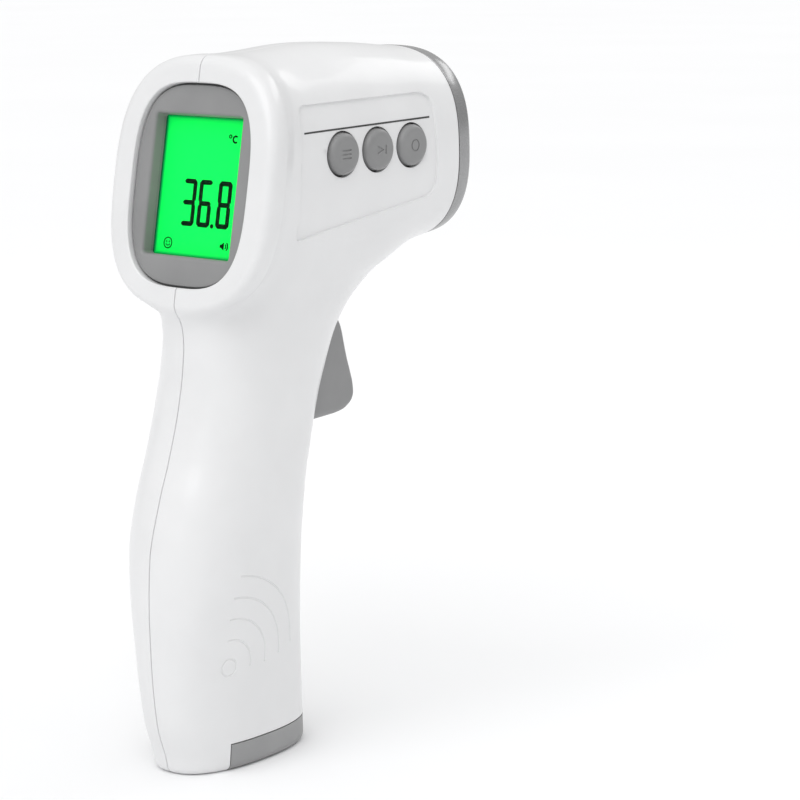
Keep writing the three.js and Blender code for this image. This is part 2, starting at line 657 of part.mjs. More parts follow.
// ---------------------------------------------------------------- battery door
function doorSolid() {
  const reach = box(DOOR.back + GAP, 40, -20, 20, -5, DOOR.top - GAP);
  const hollow = loft([
    levelRing(GRIP_SECTIONS[2], 1.7, DOOR.floor),
    levelRing(GRIP_SECTIONS[3], 1.7, GRIP_SECTIONS[3].z),
  ]);
  const tray = cutBy(gripSolid(0, 0).intersect(reach), hollow);
  const tongue = box(HINGE.x, DOOR.back + 2, -DOOR.tongueHalfWidth, DOOR.tongueHalfWidth, 0, DOOR.floor);
  const barrel = rodAlongY(HINGE.barrelRadius, -DOOR.tongueHalfWidth, DOOR.tongueHalfWidth, HINGE.x, HINGE.z);
  const pinHole = rodAlongY(HINGE.pinRadius + 0.06, -10, 10, HINGE.x, HINGE.z);
  return cutBy(joined(tray, tongue, barrel), pinHole);
}
addPart('battery_door', toGeometry(doorSolid()), FINISH.grey);

const hingePin = rodAlongY(HINGE.pinRadius, -HINGE.pinHalfLength, HINGE.pinHalfLength, HINGE.x, HINGE.z);
addPart('door_hinge_pin', toGeometry(hingePin), FINISH.steel);

const plateTop = DOOR.floor + 0.5;
const contactPlate = joined(
  box(CELL_X.rear - 3.4, CELL_X.front + 5, -5, 5, DOOR.floor + 0.05, plateTop),
  turned([[0, plateTop - 0.2], [2.8, plateTop - 0.2], [2.2, CELL.bottom - 0.2], [0, CELL.bottom - 0.2]], 20)
    .translate([CELL_X.rear, 0, 0]),
);
addPart('door_contact_plate', toGeometry(contactPlate), FINISH.steel);
const doorSpring = conicalSpring(CELL_X.front, plateTop + 0.5, CELL.bottom - 0.6, 4, 4.2, 2.4);
addPart('door_contact_spring', toGeometry(doorSpring), FINISH.spring);

// ---------------------------------------------------------------- case screws
function screwSolid() {
  const body = turned([
    [0, -10.5], [0.5, -10.5], [1.0, -9.6], [1.0, 0.1],
    [2.2, 0.1], [2.2, 1.0], [1.5, 1.7], [0, 1.7],
  ], 12);
  const slots = [box(-1.4, 1.4, -0.25, 0.25, 0.9, 3), box(-0.25, 0.25, -1.4, 1.4, 0.9, 3)];
  return cutBy(body, ...slots);
}
SCREW_SPOTS.forEach(({ x, z }, index) => {
  const geometry = toGeometry(screwSolid()).rotateX(-Math.PI / 2);
  const screw = addPart(`case_screw_${index + 1}`, geometry, FINISH.steel);
  screw.position.set(x, SCREW_SEAT, z);
});

export default thermometer;
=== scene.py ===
"""Fine visual model of a pistol-shaped infrared thermometer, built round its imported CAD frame.

Shapes are worked out in millimetres in the CAD's own frame and turned into metres when a mesh is made.
"""
import json
import math

import bmesh
import bpy
import numpy as np
from mathutils import Matrix, Vector


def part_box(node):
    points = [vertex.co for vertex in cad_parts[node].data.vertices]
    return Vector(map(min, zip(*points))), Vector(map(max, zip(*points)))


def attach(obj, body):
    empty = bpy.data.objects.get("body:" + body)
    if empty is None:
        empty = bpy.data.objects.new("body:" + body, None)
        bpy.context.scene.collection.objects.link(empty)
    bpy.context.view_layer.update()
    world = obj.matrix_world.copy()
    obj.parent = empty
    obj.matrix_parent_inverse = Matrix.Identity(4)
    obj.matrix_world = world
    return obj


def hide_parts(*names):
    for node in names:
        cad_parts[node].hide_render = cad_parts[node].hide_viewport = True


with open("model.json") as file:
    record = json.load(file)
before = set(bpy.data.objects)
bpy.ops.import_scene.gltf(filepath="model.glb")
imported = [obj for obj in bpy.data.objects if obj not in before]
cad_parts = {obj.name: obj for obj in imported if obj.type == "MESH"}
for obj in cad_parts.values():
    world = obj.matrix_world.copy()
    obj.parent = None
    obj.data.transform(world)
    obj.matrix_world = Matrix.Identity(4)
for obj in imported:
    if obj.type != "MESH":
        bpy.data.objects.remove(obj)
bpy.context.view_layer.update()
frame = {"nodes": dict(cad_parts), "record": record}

MM = 0.001
CELL_SIZE = 0.75
CAVITY_CELL = 1.6
RING_POINTS = 160

# ------------------------------------------------------------------ driving shape, mm
DISPLAY_X, DISPLAY_Z, DISPLAY_LEAN = -12.1, 134.7, math.radians(10.1)
NOSE_X, NOSE_Z, NOSE_LEAN = 58.9, 140.0, math.radians(-2.1)
HEAD_LENGTH = 71.0
RIM_POWER, NOSE_POWER = 2.8, 2.62
FACE_ROUNDING = 2.4
WALL = 2.0
WINDOW = (17.6, 23.0, 3.2)
WINDOW_ROUNDING = 0.35
BEZEL_GAP = 0.45
PANEL_SINK = 0.6
SEAM_GAP = 0.1
SEAM_ROUNDING = 0.18
GRIP_POWER = 2.4
BASE_ROUNDING = 1.9

BUTTON_RADIUS = 4.85
BUTTON_HOLE_RADIUS = BUTTON_RADIUS + 0.45
BUTTON_PROUD = 1.3
BUTTON_LENGTH = 6.0
BUTTON_TOP = 1.28

TRIGGER_HALF_WIDTH, TRIGGER_ROUNDING, TRIGGER_GAP = 7.0, 2.0, 0.4
TRIGGER_PIN_HOLE, DOOR_PIN_HOLE, CASE_HINGE_HOLE = 1.06, 0.81, 0.82
DOOR_BACK, DOOR_TOP, DOOR_GAP = -11.4, 6.4, 0.3
DOOR_WALL = 1.7
SCREW_BOSS, SCREW_RECESS, SCREW_HOLE = 3.3, 2.5, 1.25

LINE_START, LINE_END, LINE_HALF_WIDTH = 5.3, 48.9, 0.2
LINE_Z, LINE_SLOPE = 146.0, 1.4 / 44.3
WAVE_MIDDLE = (-13.5, 25.5)
GROOVE_RADIUS = 0.3

# Distance from the display plane, half width, half height, lift of the middle.
HEAD_TABLE = np.array([
    (-4.0, 24.2, 28.8, 0.0), (2.2, 24.2, 28.8, 0.0), (5.0, 24.0, 28.7, 0.0), (8.0, 22.6, 28.3, 0.1),
    (12.0, 21.1, 27.9, 0.2), (18.0, 20.5, 27.5, 0.4), (36.0, 20.95, 26.5, 1.1), (54.0, 21.75, 25.2, 0.6),
    (71.0, 22.5, 23.42, 0.0), (80.0, 22.9, 22.6, 0.0),
])
# Height, back edge, front edge, half width.
GRIP_TABLE = np.array([
    (-3.0, -21.4, 21.4, 11.2), (1.8, -21.8, 21.2, 11.4), (12.3, -24.9, 20.7, 11.8),
    (26.0, -26.4, 19.6, 12.8), (40.3, -26.9, 18.5, 14.4), (51.0, -26.4, 18.2, 15.3),
    (63.7, -23.1, 18.9, 15.9), (73.3, -19.6, 20.8, 15.8), (84.0, -16.4, 23.6, 15.7),
    (92.9, -14.7, 27.6, 15.4), (98.8, -14.2, 30.8, 15.3), (104.6, -14.7, 35.6, 15.7),
    (110.8, -14.0, 43.6, 16.8), (115.2, -12.0, 52.0, 17.4), (119.0, -10.0, 56.0, 17.0),
])
GRIP_TOP = 119.0
BLEND = 5.0
PANEL_CORNERS = np.array([
    (4.0, 152.1), (46.4, 153.3), (49.6, 152.0), (50.3, 149.0),
    (51.2, 132.5), (50.4, 129.8), (47.8, 128.6), (2.4, 121.9),
])


def smooth_curve(knots, values):
    """A function that passes smoothly through the knots, without overshooting between them."""
    steps = np.diff(knots)
    slopes = np.diff(values) / steps
    tangents = np.zeros(len(knots))
    tangents[0], tangents[-1] = slopes[0], slopes[-1]
    for i in range(1, len(knots) - 1):
        if slopes[i - 1] * slopes[i] > 0:
            w1 = 2 * steps[i] + steps[i - 1]
            w2 = steps[i] + 2 * steps[i - 1]
            tangents[i] = (w1 + w2) / (w1 / slopes[i - 1] + w2 / slopes[i])

    def curve(x):
        x = np.clip(x, knots[0], knots[-1])
        i = np.clip(np.searchsorted(knots, x) - 1, 0, len(steps) - 1)
        s = (x - knots[i]) / steps[i]
        a = values[i] * (1 + 2 * s) * (1 - s) ** 2 + values[i + 1] * s * s * (3 - 2 * s)
        return a + steps[i] * (tangents[i] * s * (1 - s) ** 2 + tangents[i + 1] * s * s * (s - 1))

    return curve


head_width, head_height, head_lift = [smooth_curve(HEAD_TABLE[:, 0], HEAD_TABLE[:, i]) for i in (1, 2, 3)]
grip_back, grip_front, grip_width = [smooth_curve(GRIP_TABLE[:, 0], GRIP_TABLE[:, i]) for i in (1, 2, 3)]


# ------------------------------------------------------------------ distance fields
def oval_distance(u, v, half_u, half_v, power):
    """About the distance outside a superellipse, and negative inside it."""
    a = np.abs(u) / half_u
    b = np.abs(v) / half_v
    reach = (a ** power + b ** power + 1e-12) ** (1 / power)
    slope_u = (a / reach) ** (power - 1) / half_u
    slope_v = (b / reach) ** (power - 1) / half_v
    return (reach - 1) / np.hypot(slope_u, slope_v)


def rounded_overlap(a, b, radius):
    """The overlap of two fields, its edge rounded."""
    corner = np.hypot(np.maximum(a + radius, 0), np.maximum(b + radius, 0))
    return np.minimum(-radius, np.maximum(a, b)) + corner


def blended_union(a, b, width):
    """Two fields joined, with a soft fillet between them."""
    share = np.clip(0.5 + 0.5 * (b - a) / width, 0, 1)
    return b + (a - b) * share - width * share * (1 - share)


def head_position(x, z):
    """How far along the head a point is, and its height in that leaning section."""
    along = x - DISPLAY_X
    for _ in range(3):
        share = np.clip(along / HEAD_LENGTH, -0.1, 1.15)
        lean = DISPLAY_LEAN + (NOSE_LEAN - DISPLAY_LEAN) * share
        mid_x = DISPLAY_X + (NOSE_X - DISPLAY_X) * share
        mid_z = DISPLAY_Z + (NOSE_Z - DISPLAY_Z) * share
        ahead = (x - mid_x) * np.cos(lean) - (z - mid_z) * np.sin(lean)
        along = share * HEAD_LENGTH + ahead
    up = (x - mid_x) * np.sin(lean) + (z - mid_z) * np.cos(lean)
    return along, up


def head_field(x, y, z, inset=0.0, face=0.0, nose=HEAD_LENGTH):
    along, up = head_position(x, z)
    share = np.clip(along / HEAD_LENGTH, 0, 1)
    power = RIM_POWER + (NOSE_POWER - RIM_POWER) * share
    half_width, half_height = head_width(along) - inset, head_height(along) - inset
    side = oval_distance(y, up - head_lift(along), half_width, half_height, power)
    rounding = max(FACE_ROUNDING - inset, 0.3)
    field = rounded_overlap(side, face - along, rounding)
    return rounded_overlap(field, along - nose, 0.25)


def grip_field(x, y, z, inset=0.0, floor=0.0):
    back, front = grip_back(z) + inset, grip_front(z) - inset
    side = oval_distance(x - (back + front) / 2, y, (front - back) / 2, grip_width(z) - inset, GRIP_POWER)
    field = rounded_overlap(side, floor - z, max(BASE_ROUNDING - inset, 0.3))
    return np.maximum(field, z - GRIP_TOP + inset)


def body_field(x, y, z):
    return blended_union(head_field(x, y, z, nose=HEAD_LENGTH + 3), grip_field(x, y, z), BLEND)


def case_side(x, z, sink=0.0):
    """Y of the case's right side, or of a surface sunk below it, at points given by X and Z."""
    far, near = np.full(np.shape(x), -32.0), np.full(np.shape(x), -4.0)
    for _ in range(40):
        middle = (far + near) / 2
        outside = body_field(x, middle, z) + sink > 0
        far = np.where(outside, middle, far)
        near = np.where(outside, near, middle)
    return (far + near) / 2


def cavity_field(x, y, z):
    head = head_field(x, y, z, inset=WALL, face=2.2, nose=HEAD_LENGTH + 4)
    return blended_union(head, grip_field(x, y, z, inset=WALL, floor=1.9), BLEND)


def on_side(spots, sink=0.0):
    """Points on the case's right side, or below it, from (x, z) pairs."""
    spots = np.asarray(spots, float)
    return np.stack([spots[:, 0], case_side(spots[:, 0], spots[:, 1], sink), spots[:, 1]], axis=1)


# ------------------------------------------------------------------ surface of a field
def field_normals(field, points):
    step = 0.02
    normals = np.empty_like(points)
    for axis in range(3):
        shift = np.zeros(3)
        shift[axis] = step
        ahead, behind = points + shift, points - shift
        normals[:, axis] = field(*ahead.T) - field(*behind.T)
    normals /= 2 * step
    return normals


def settle(field, points, rounds):
    """Moves points onto the surface where the field is zero."""
    for _ in range(rounds):
        slopes = field_normals(field, points)
        values = field(*points.T)
        points = points - slopes * (values / np.maximum((slopes ** 2).sum(1), 1e-6))[:, None]
    return points


def field_surface(field, low, high, size, relax=2):
    """Points and four-sided faces of the surface where the field is zero, faces out."""
    axes = [np.arange(lo, hi + size, size) for lo, hi in zip(low, high)]
    grid = np.meshgrid(*axes, indexing="ij")
    values = field(*[g.ravel() for g in grid]).reshape(grid[0].shape)
    inside = values < 0
    corner = inside[:-1, :-1, :-1]
    mixed = np.zeros(corner.shape, bool)
    nx, ny, nz = corner.shape
    for dx, dy, dz in np.ndindex(2, 2, 2):
        mixed |= inside[dx:dx + nx, dy:dy + ny, dz:dz + nz] != corner
    index = np.full(mixed.shape, -1)
    index[mixed] = np.arange(mixed.sum())
    cells = np.argwhere(mixed)
    points = np.array(low) + (cells + 0.5) * size
    quads = []
    for axis in range(3):
        a, b = [(1, 2), (2, 0), (0, 1)][axis]
        lower = [slice(None)] * 3
        upper = [slice(None)] * 3
        lower[axis], upper[axis] = slice(0, -1), slice(1, None)
        crossing = np.argwhere(inside[tuple(lower)] != inside[tuple(upper)])
        crossing = crossing[(crossing[:, a] > 0) & (crossing[:, b] > 0)]
        crossing = crossing[(crossing[:, a] < mixed.shape[a]) & (crossing[:, b] < mixed.shape[b])]
        steps = np.zeros((4, 3), int)
        steps[1, a] = steps[2, a] = -1
        steps[2, b] = steps[3, b] = -1
        quad = np.stack([index[tuple((crossing + step).T)] for step in steps], axis=1)
        outward = inside[tuple(crossing.T)]
        quads.append(np.where(outward[:, None], quad, quad[:, ::-1]))
    quads = np.concatenate(quads)
    points = settle(field, points, 4)
    for _ in range(relax):
        total = np.zeros_like(points)
        count = np.zeros(len(points))
        for i in range(4):
            here, there = quads[:, i], quads[:, (i + 1) % 4]
            for axis in range(3):
                total[:, axis] += np.bincount(here, points[there, axis], len(points))
                total[:, axis] += np.bincount(there, points[here, axis], len(points))
            count += np.bincount(here, minlength=len(points)) + np.bincount(there, minlength=len(points))
        points = settle(field, points * 0.4 + total / count[:, None] * 0.6, 2)
    return points, quads


# ------------------------------------------------------------------ mesh helpers
def add_to_scene(obj):
    bpy.context.scene.collection.objects.link(obj)
    return obj


def discard(obj):
    mesh = obj.data
    bpy.data.objects.remove(obj)
    bpy.data.meshes.remove(mesh)


def make_object(name, points, faces, material=None, sharp=32):
    mesh = bpy.data.meshes.new(name)
    corners = [tuple(float(c) * MM for c in point) for point in points]
    mesh.from_pydata(corners, [], [tuple(int(i) for i in face) for face in faces])
    mesh.validate()
    obj = add_to_scene(bpy.data.objects.new(name, mesh))
    finish_mesh(obj, material, sharp)
    return obj


def finish_mesh(obj, material=None, sharp=32):
    mesh = obj.data
    mesh.polygons.foreach_set("use_smooth", [True] * len(mesh.polygons))
    mesh.set_sharp_from_angle(angle=math.radians(sharp))
    if material is not None:
        mesh.materials.clear()
        mesh.materials.append(material)
    mesh.update()


def combine(obj, others, operation="DIFFERENCE"):
    """Cuts other closed objects from this one, joins them to it, or keeps the overlap; the others go."""
    for other in others:
        modifier = obj.modifiers.new("join", "BOOLEAN")
        modifier.operation = operation
        modifier.solver = "MANIFOLD"
        modifier.object = other
    bpy.context.view_layer.update()
    result = bpy.data.meshes.new_from_object(obj.evaluated_get(bpy.context.evaluated_depsgraph_get()))
    obj.modifiers.clear()
    old = obj.data
    name = old.name
    obj.data = result
    bpy.data.meshes.remove(old)
    result.name = name
    for other in others:
        discard(other)
    return obj


def ring_faces(rings, closed):
    """Faces between rings of equal length laid one after another; closed joins the last ring to the first."""
    count = len(rings[0])
    faces = []
    spans = len(rings) if closed else len(rings) - 1
    for level in range(spans):
        low, high = level * count, ((level + 1) % len(rings)) * count
        for i in range(count):
            j = (i + 1) % count
            faces.append((low + i, low + j, high + j, high + i))
    if not closed:
        faces.append(tuple(range(count))[::-1])
        faces.append(tuple((len(rings) - 1) * count + i for i in range(count)))
    return faces


def loft(name, rings, material=None, closed=False, sharp=32):
    """A body through rings of points; wound so that its faces point out."""
    points = np.concatenate(rings)
    obj = make_object(name, points, ring_faces(rings, closed), material, sharp)
    face_out(obj)
    finish_mesh(obj, material, sharp)
    return obj


def face_out(obj):
    work = bmesh.new()
    work.from_mesh(obj.data)
    bmesh.ops.recalc_face_normals(work, faces=work.faces)
    if work.calc_volume(signed=True) < 0:
        bmesh.ops.reverse_faces(work, faces=work.faces)
    work.to_mesh(obj.data)
    work.free()


def turned(name, profile, sides, axis_matrix, material=None):
    """A turned body from (radius, depth) pairs; depth runs along the matrix's X axis."""
    angles = np.arange(sides) * 2 * math.pi / sides
    return loft(name, [flat_ring(depth, radius, angles, axis_matrix) for radius, depth in profile], material)


def place(points, matrix):
    array = np.array(matrix)
    return points @ array[:3, :3].T + array[:3, 3]


def flat_ring(depth, reach, angles, matrix):
    """Points round the matrix's X axis, at one depth along it."""
    local = np.stack([np.full(len(angles), depth), reach * np.cos(angles), reach * np.sin(angles)], axis=1)
    return place(local, matrix)


def box_object(name, low, high, matrix=None):
    (x0, y0, z0), (x1, y1, z1) = low, high
    lower = np.array([(x0, y0, z0), (x1, y0, z0), (x1, y1, z0), (x0, y1, z0)])
    rings = [lower, lower + (0, 0, z1 - z0)]
    return loft(name, rings if matrix is None else [place(ring, matrix) for ring in rings])


def node_box(node):
    return [np.array(corner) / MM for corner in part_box(node)]


def node_middle(node):
    return sum(node_box(node)) / 2


def cross_rod(node, near, far, radius, sides=24):
    """A plain round cutter or boss along Y, through the middle of a node."""
    x, _, z = node_middle(node)
    a, b = Vector((x, near, z)), Vector((x, far, z))
    matrix = Matrix.Translation(a) @ (b - a).to_track_quat("X", "Z").to_matrix().to_4x4()
    return turned("rod", [(radius, 0), (radius, (b - a).length)], sides, matrix)


def tube(name, path, radius, sides, material=None):
    """A round wire along points, with flat ends."""
    path = np.asarray(path, float)
    ahead = np.gradient(path, axis=0)
    ahead /= np.linalg.norm(ahead, axis=1)[:, None]
    side = np.cross(ahead[0], (0.3, 0.5, 0.8))
    angles = np.arange(sides) * 2 * math.pi / sides
    rings = []
    for spot, direction in zip(path, ahead):
        side = side - direction * side.dot(direction)
        side /= np.linalg.norm(side)
        other = np.cross(direction, side)
        rings.append(spot + radius * (np.cos(angles)[:, None] * side + np.sin(angles)[:, None] * other))
    return loft(name, rings, material, sharp=60)


# Frames on the display and the nose: local X runs into the case at the display and out of the nose.
display_frame = Matrix.Translation((DISPLAY_X, 0, DISPLAY_Z)) @ Matrix.Rotation(DISPLAY_LEAN, 4, "Y")
nose_frame = Matrix.Translation((NOSE_X, 0, NOSE_Z)) @ Matrix.Rotation(NOSE_LEAN, 4, "Y")


def oval_reach(half_width, half_height, power, angles):
    """Distance from the middle of a superellipse to its edge."""
    across, up = np.abs(np.cos(angles) / half_width), np.abs(np.sin(angles) / half_height)
    return (across ** power + up ** power) ** (-1 / power)


def oval_ring(depth, half_width, half_height, power, matrix, angles):
    return flat_ring(depth, oval_reach(half_width, half_height, power, angles), angles, matrix)


def even_angles(count):
    return (np.arange(count) + 0.5) * 2 * math.pi / count


# ------------------------------------------------------------------ materials
def node_material(name, roughness, metallic=0.0, coat=0.0):
    """A principled material, its node tree and its shader."""
    material = bpy.data.materials.new(name)
    material.use_nodes = True
    tree = material.node_tree
    shader = tree.nodes["Principled BSDF"]
    shader.inputs["Roughness"].default_value = roughness
    shader.inputs["Metallic"].default_value = metallic
    shader.inputs["Coat Weight"].default_value = coat
    return material, tree, shader


def add_node(tree, kind, **values):
    node = tree.nodes.new(kind)
    for key, value in values.items():
        if key in node.inputs:
            node.inputs[key].default_value = value
        else:
            setattr(node, key, value)
    return node


def object_noise(tree, scale, detail, stretch=None):
    """Noise in the object's own space; stretch squeezes the pattern along an axis."""
    source = add_node(tree, "ShaderNodeTexCoord").outputs["Object"]
    if stretch:
        mapping = add_node(tree, "ShaderNodeMapping", Scale=stretch)
        tree.links.new(source, mapping.inputs["Vector"])
        source = mapping.outputs["Vector"]
    noise = add_node(tree, "ShaderNodeTexNoise", Scale=scale, Detail=detail)
    tree.links.new(source, noise.inputs["Vector"])
    return noise.outputs["Fac"]


def colour_ramp(tree, source, *stops):
    """Colours by a number, from (position, colour) stops."""
    ramp = add_node(tree, "ShaderNodeValToRGB")
    elements = ramp.color_ramp.elements
    for position, _ in stops[1:-1]:
        elements.new(position)
    for element, (position, colour) in zip(elements, stops):
        element.position = position
        element.color = (*colour, 1)
    tree.links.new(source, ramp.inputs["Fac"])
    return ramp


def map_range(tree, source, start=(0, 1), end=(0, 1)):
    """A number moved from the start range to the end range."""
    node = add_node(tree, "ShaderNodeMapRange")
    for name, value in zip(("From Min", "From Max", "To Min", "To Max"), (*start, *end)):
        node.inputs[name].default_value = value
    tree.links.new(source, node.inputs["Value"])
    return node.outputs["Result"]


def maths(tree, operation, *values):
    """The result of a sum on numbers and other nodes' outputs."""
    node = add_node(tree, "ShaderNodeMath", operation=operation)
    for socket, value in zip(node.inputs, values):
        if isinstance(value, bpy.types.NodeSocket):
            tree.links.new(value, socket)
        else:
            socket.default_value = value
    return node.outputs[0]


def noise_colour(tree, shader, low, high, scale, stretch=None):
    """Base colour that wanders between two colours."""
    ramp = colour_ramp(tree, object_noise(tree, scale, 3.0, stretch), (0.35, low), (0.65, high))
    tree.links.new(ramp.outputs["Color"], shader.inputs["Base Color"])


def grain(tree, shader, scale, strength, distance, roughness, spread):
    """Fine moulded texture as bump, and a matching small change of roughness."""
    noise = object_noise(tree, scale, 2.0)
    bump = add_node(tree, "ShaderNodeBump", Strength=strength, Distance=distance)
    tree.links.new(noise, bump.inputs["Height"])
    tree.links.new(bump.outputs["Normal"], shader.inputs["Normal"])
    varied = map_range(tree, noise, end=(roughness - spread, roughness + spread))
    tree.links.new(varied, shader.inputs["Roughness"])


def grey(level):
    return (level, level * 1.003, level * 1.01)


def moulded_plastic(name, low, high, roughness, coat=0.0, grain_scale=2600, strength=0.12):
    material, tree, shader = node_material(name, roughness, coat=coat)
    noise_colour(tree, shader, low, high, 60.0)
    grain(tree, shader, grain_scale, strength, 0.00004, roughness, 0.04)
    return material


def metal(name, low, high, roughness, stretch=None):
    material, tree, shader = node_material(name, roughness, metallic=1.0)
    noise_colour(tree, shader, low, high, 900.0, stretch)
    grain(tree, shader, 1800.0, 0.1, 0.00002, roughness, 0.06)
    return material


white_plastic = moulded_plastic("white_plastic", grey(0.75), grey(0.775), 0.30, coat=0.25)
grey_plastic = moulded_plastic("grey_plastic", grey(0.245), grey(0.275), 0.46, grain_scale=3200, strength=0.2)
door_plastic = moulded_plastic("door_plastic", grey(0.285), grey(0.315), 0.48, grain_scale=3200, strength=0.2)
button_plastic = moulded_plastic("button_plastic", grey(0.225), grey(0.255), 0.40, grain_scale=3600)
dark_plastic = moulded_plastic("dark_plastic", grey(0.030), grey(0.040), 0.55)
chip_plastic = moulded_plastic("chip_plastic", grey(0.012), grey(0.02), 0.5)
cradle_plastic = moulded_plastic("cradle_plastic", grey(0.50), grey(0.56), 0.55)
line_ink = moulded_plastic("line_ink", grey(0.035), grey(0.05), 0.6)
silver_paint, silver_tree, silver_shader = node_material("silver_paint", 0.24, metallic=0.85)
noise_colour(silver_tree, silver_shader, grey(0.31), grey(0.36), 3500.0)
grain(silver_tree, silver_shader, 5200, 0.06, 0.00003, 0.24, 0.04)
steel = metal("steel", grey(0.48), grey(0.58), 0.28, stretch=(1, 1, 14))
spring_steel = metal("spring_steel", grey(0.50), grey(0.62), 0.22)
board_green = moulded_plastic("board_green", (0.012, 0.085, 0.035), (0.018, 0.13, 0.05), 0.4, coat=0.3)
ribbon_film = moulded_plastic("ribbon_film", (0.50, 0.45, 0.34), (0.58, 0.53, 0.42), 0.45)
diffuser_plastic = moulded_plastic("diffuser_plastic", (0.62, 0.80, 0.66), (0.70, 0.86, 0.72), 0.6)
segment_ink = moulded_plastic("segment_ink", (0.0, 0.012, 0.002), (0.0, 0.018, 0.003), 0.8)
segment_ink.node_tree.nodes["Principled BSDF"].inputs["Specular IOR Level"].default_value = 0.05


def banded_cell_material():
    """A printed film: a coppery band at one end of the cell, dark blue along the rest."""
    material, tree, shader = node_material("cell_wrap", 0.3, metallic=0.35, coat=0.5)
    split = add_node(tree, "ShaderNodeSeparateXYZ")
    tree.links.new(add_node(tree, "ShaderNodeTexCoord").outputs["Object"], split.inputs["Vector"])
    low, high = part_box("battery_cell_front")
    height = map_range(tree, split.outputs["Z"], start=(low[2], high[2]))
    ramp = colour_ramp(tree, height, (0.0, (0.50, 0.24, 0.10)), (0.30, (0.02, 0.035, 0.10)))
    ramp.color_ramp.interpolation = "CONSTANT"
    tree.links.new(ramp.outputs["Color"], shader.inputs["Base Color"])
    grain(tree, shader, 1500, 0.08, 0.00003, 0.3, 0.04)
    return material


cell_wrap = banded_cell_material()


def clear_material():
    material, tree, shader = node_material("clear_window", 0.04)
    shader.inputs["IOR"].default_value = 1.45
    shader.inputs["Alpha"].default_value = 0.05
    noise_colour(tree, shader, (0.02, 0.06, 0.04), (0.03, 0.08, 0.05), 40.0)
    grain(tree, shader, 400, 0.02, 0.00001, 0.05, 0.02)
    return material


clear_window = clear_material()


def lit_material(half_width, half_height):
    """The lit LCD: even green, with painted shade along its edges, darker and bluer there, where the bezel's
    rim shades it.
    """
    material, tree, shader = node_material("lcd_lit", 0.6)
    shader.inputs["Specular IOR Level"].default_value = 0.1
    split = add_node(tree, "ShaderNodeSeparateXYZ")
    tree.links.new(add_node(tree, "ShaderNodeTexCoord").outputs["UV"], split.inputs["Vector"])
    reaches = []
    for axis, half in (("X", half_width), ("Y", half_height)):
        off_centre = maths(tree, "ABSOLUTE", maths(tree, "SUBTRACT", split.outputs[axis], 0.5))
        reaches.append(maths(tree, "MULTIPLY_ADD", off_centre, -2.0 * half, half))
    painted_shade_fade = map_range(tree, maths(tree, "MINIMUM", *reaches), start=(0, 1.3))
    # Painted shade: the edge colour darkens the screen within 1.3 mm of the bezel's hole, standing in for the
    # bezel's shade.
    edge, between, middle = (0.0, 0.12, 0.04), (0.001, 0.72, 0.085), (0.001, 0.95, 0.095)
    ramp = colour_ramp(tree, painted_shade_fade, (0.0, edge), (0.5, between), (1.0, middle))
    tree.links.new(ramp.outputs["Color"], shader.inputs["Emission Color"])
    tree.links.new(ramp.outputs["Color"], shader.inputs["Base Color"])
    shader.inputs["Emission Strength"].default_value = 0.58
    return material


# ------------------------------------------------------------------ shell halves
def oval_cutter(name, half_width, half_height, power, matrix, depths):
    """A cutter through (depth, extra size) steps, for a hole whose edge is rounded."""
    angles = even_angles(RING_POINTS)
    rings = [oval_ring(d, half_width + e, half_height + e, power, matrix, angles) for d, e in depths]
    return loft(name, rings)


def rounded_mouth(depth, rounding):
    """Steps of (depth, extra size) that round a hole's front edge, from outside to depth inside."""
    turns = [math.pi / 10 * i for i in range(6)]
    mouth = [(rounding * (1 - math.cos(a)), rounding * (1 - math.sin(a))) for a in turns]
    return [(-3.0, rounding)] + mouth + [(depth, 0.0)]


def seam_strip(start, normals, side):
    """Rows that round the outer edge of the seam and lead to its flat face."""
    rows = []
    for turn in (0.33, 0.67, 1.0):
        angle = turn * math.pi / 2
        row = start - normals * (SEAM_ROUNDING * (1 - math.cos(angle)))
        row[:, 1] = side * (SEAM_GAP + SEAM_ROUNDING * (1 - math.sin(angle)))
        rows.append(row)
    return rows


def border_loop(work, name):
    """The vertices round the one open edge of a mesh, in order."""
    neighbours = {}
    for edge in work.edges:
        if edge.is_boundary:
            a, b = edge.verts
            neighbours.setdefault(a, []).append(b)
            neighbours.setdefault(b, []).append(a)
    loop, previous = [next(iter(neighbours))], None
    while len(loop) < len(neighbours):
        ahead = [v for v in neighbours[loop[-1]] if v is not previous]
        previous = loop[-1]
        loop.append(ahead[0])
    if len(set(loop)) < len(loop):
        raise RuntimeError("the seam of " + name + " isn't one loop")
    return loop


def half_solid(name, side):
    """The solid right (-1) or left (+1) half of the whole body, its seam edge rounded."""
    edge = SEAM_GAP + SEAM_ROUNDING
    reach = math.ceil(26.5 / CELL_SIZE) * CELL_SIZE
    near, far = side * (edge - 2 * CELL_SIZE), side * (edge + reach)
    low, high = (-29.5, min(near, far), -2.5), (65.5, max(near, far), 168.0)
    points, quads = field_surface(body_field, low, high, CELL_SIZE)
    work = bmesh.new()
    for point in points:
        work.verts.new(point)
    work.verts.ensure_lookup_table()
    for quad in quads:
        work.faces.new([work.verts[i] for i in quad])
    everything = work.verts[:] + work.edges[:] + work.faces[:]
    cut = {"plane_co": (0, side * edge, 0), "plane_no": (0, -side, 0), "clear_outer": True}
    bmesh.ops.bisect_plane(work, geom=everything, dist=0.02, **cut)
    work.verts.ensure_lookup_table()
    row = border_loop(work, name)
    start = np.array([v.co[:] for v in row])
    normals = field_normals(body_field, start)
    normals[:, 1] = 0
    normals /= np.linalg.norm(normals, axis=1)[:, None]
    for spots in seam_strip(start, normals, side):
        following = [work.verts.new(p) for p in spots]
        for i in range(len(row)):
            j = (i + 1) % len(row)
            work.faces.new([row[i], row[j], following[j], following[i]])
        row = following
    work.faces.new(row)
    bmesh.ops.recalc_face_normals(work, faces=work.faces)
    bmesh.ops.scale(work, vec=(MM, MM, MM), verts=work.verts)
    mesh = bpy.data.meshes.new(name)
    work.to_mesh(mesh)
    work.free()
    return add_to_scene(bpy.data.objects.new(name, mesh))


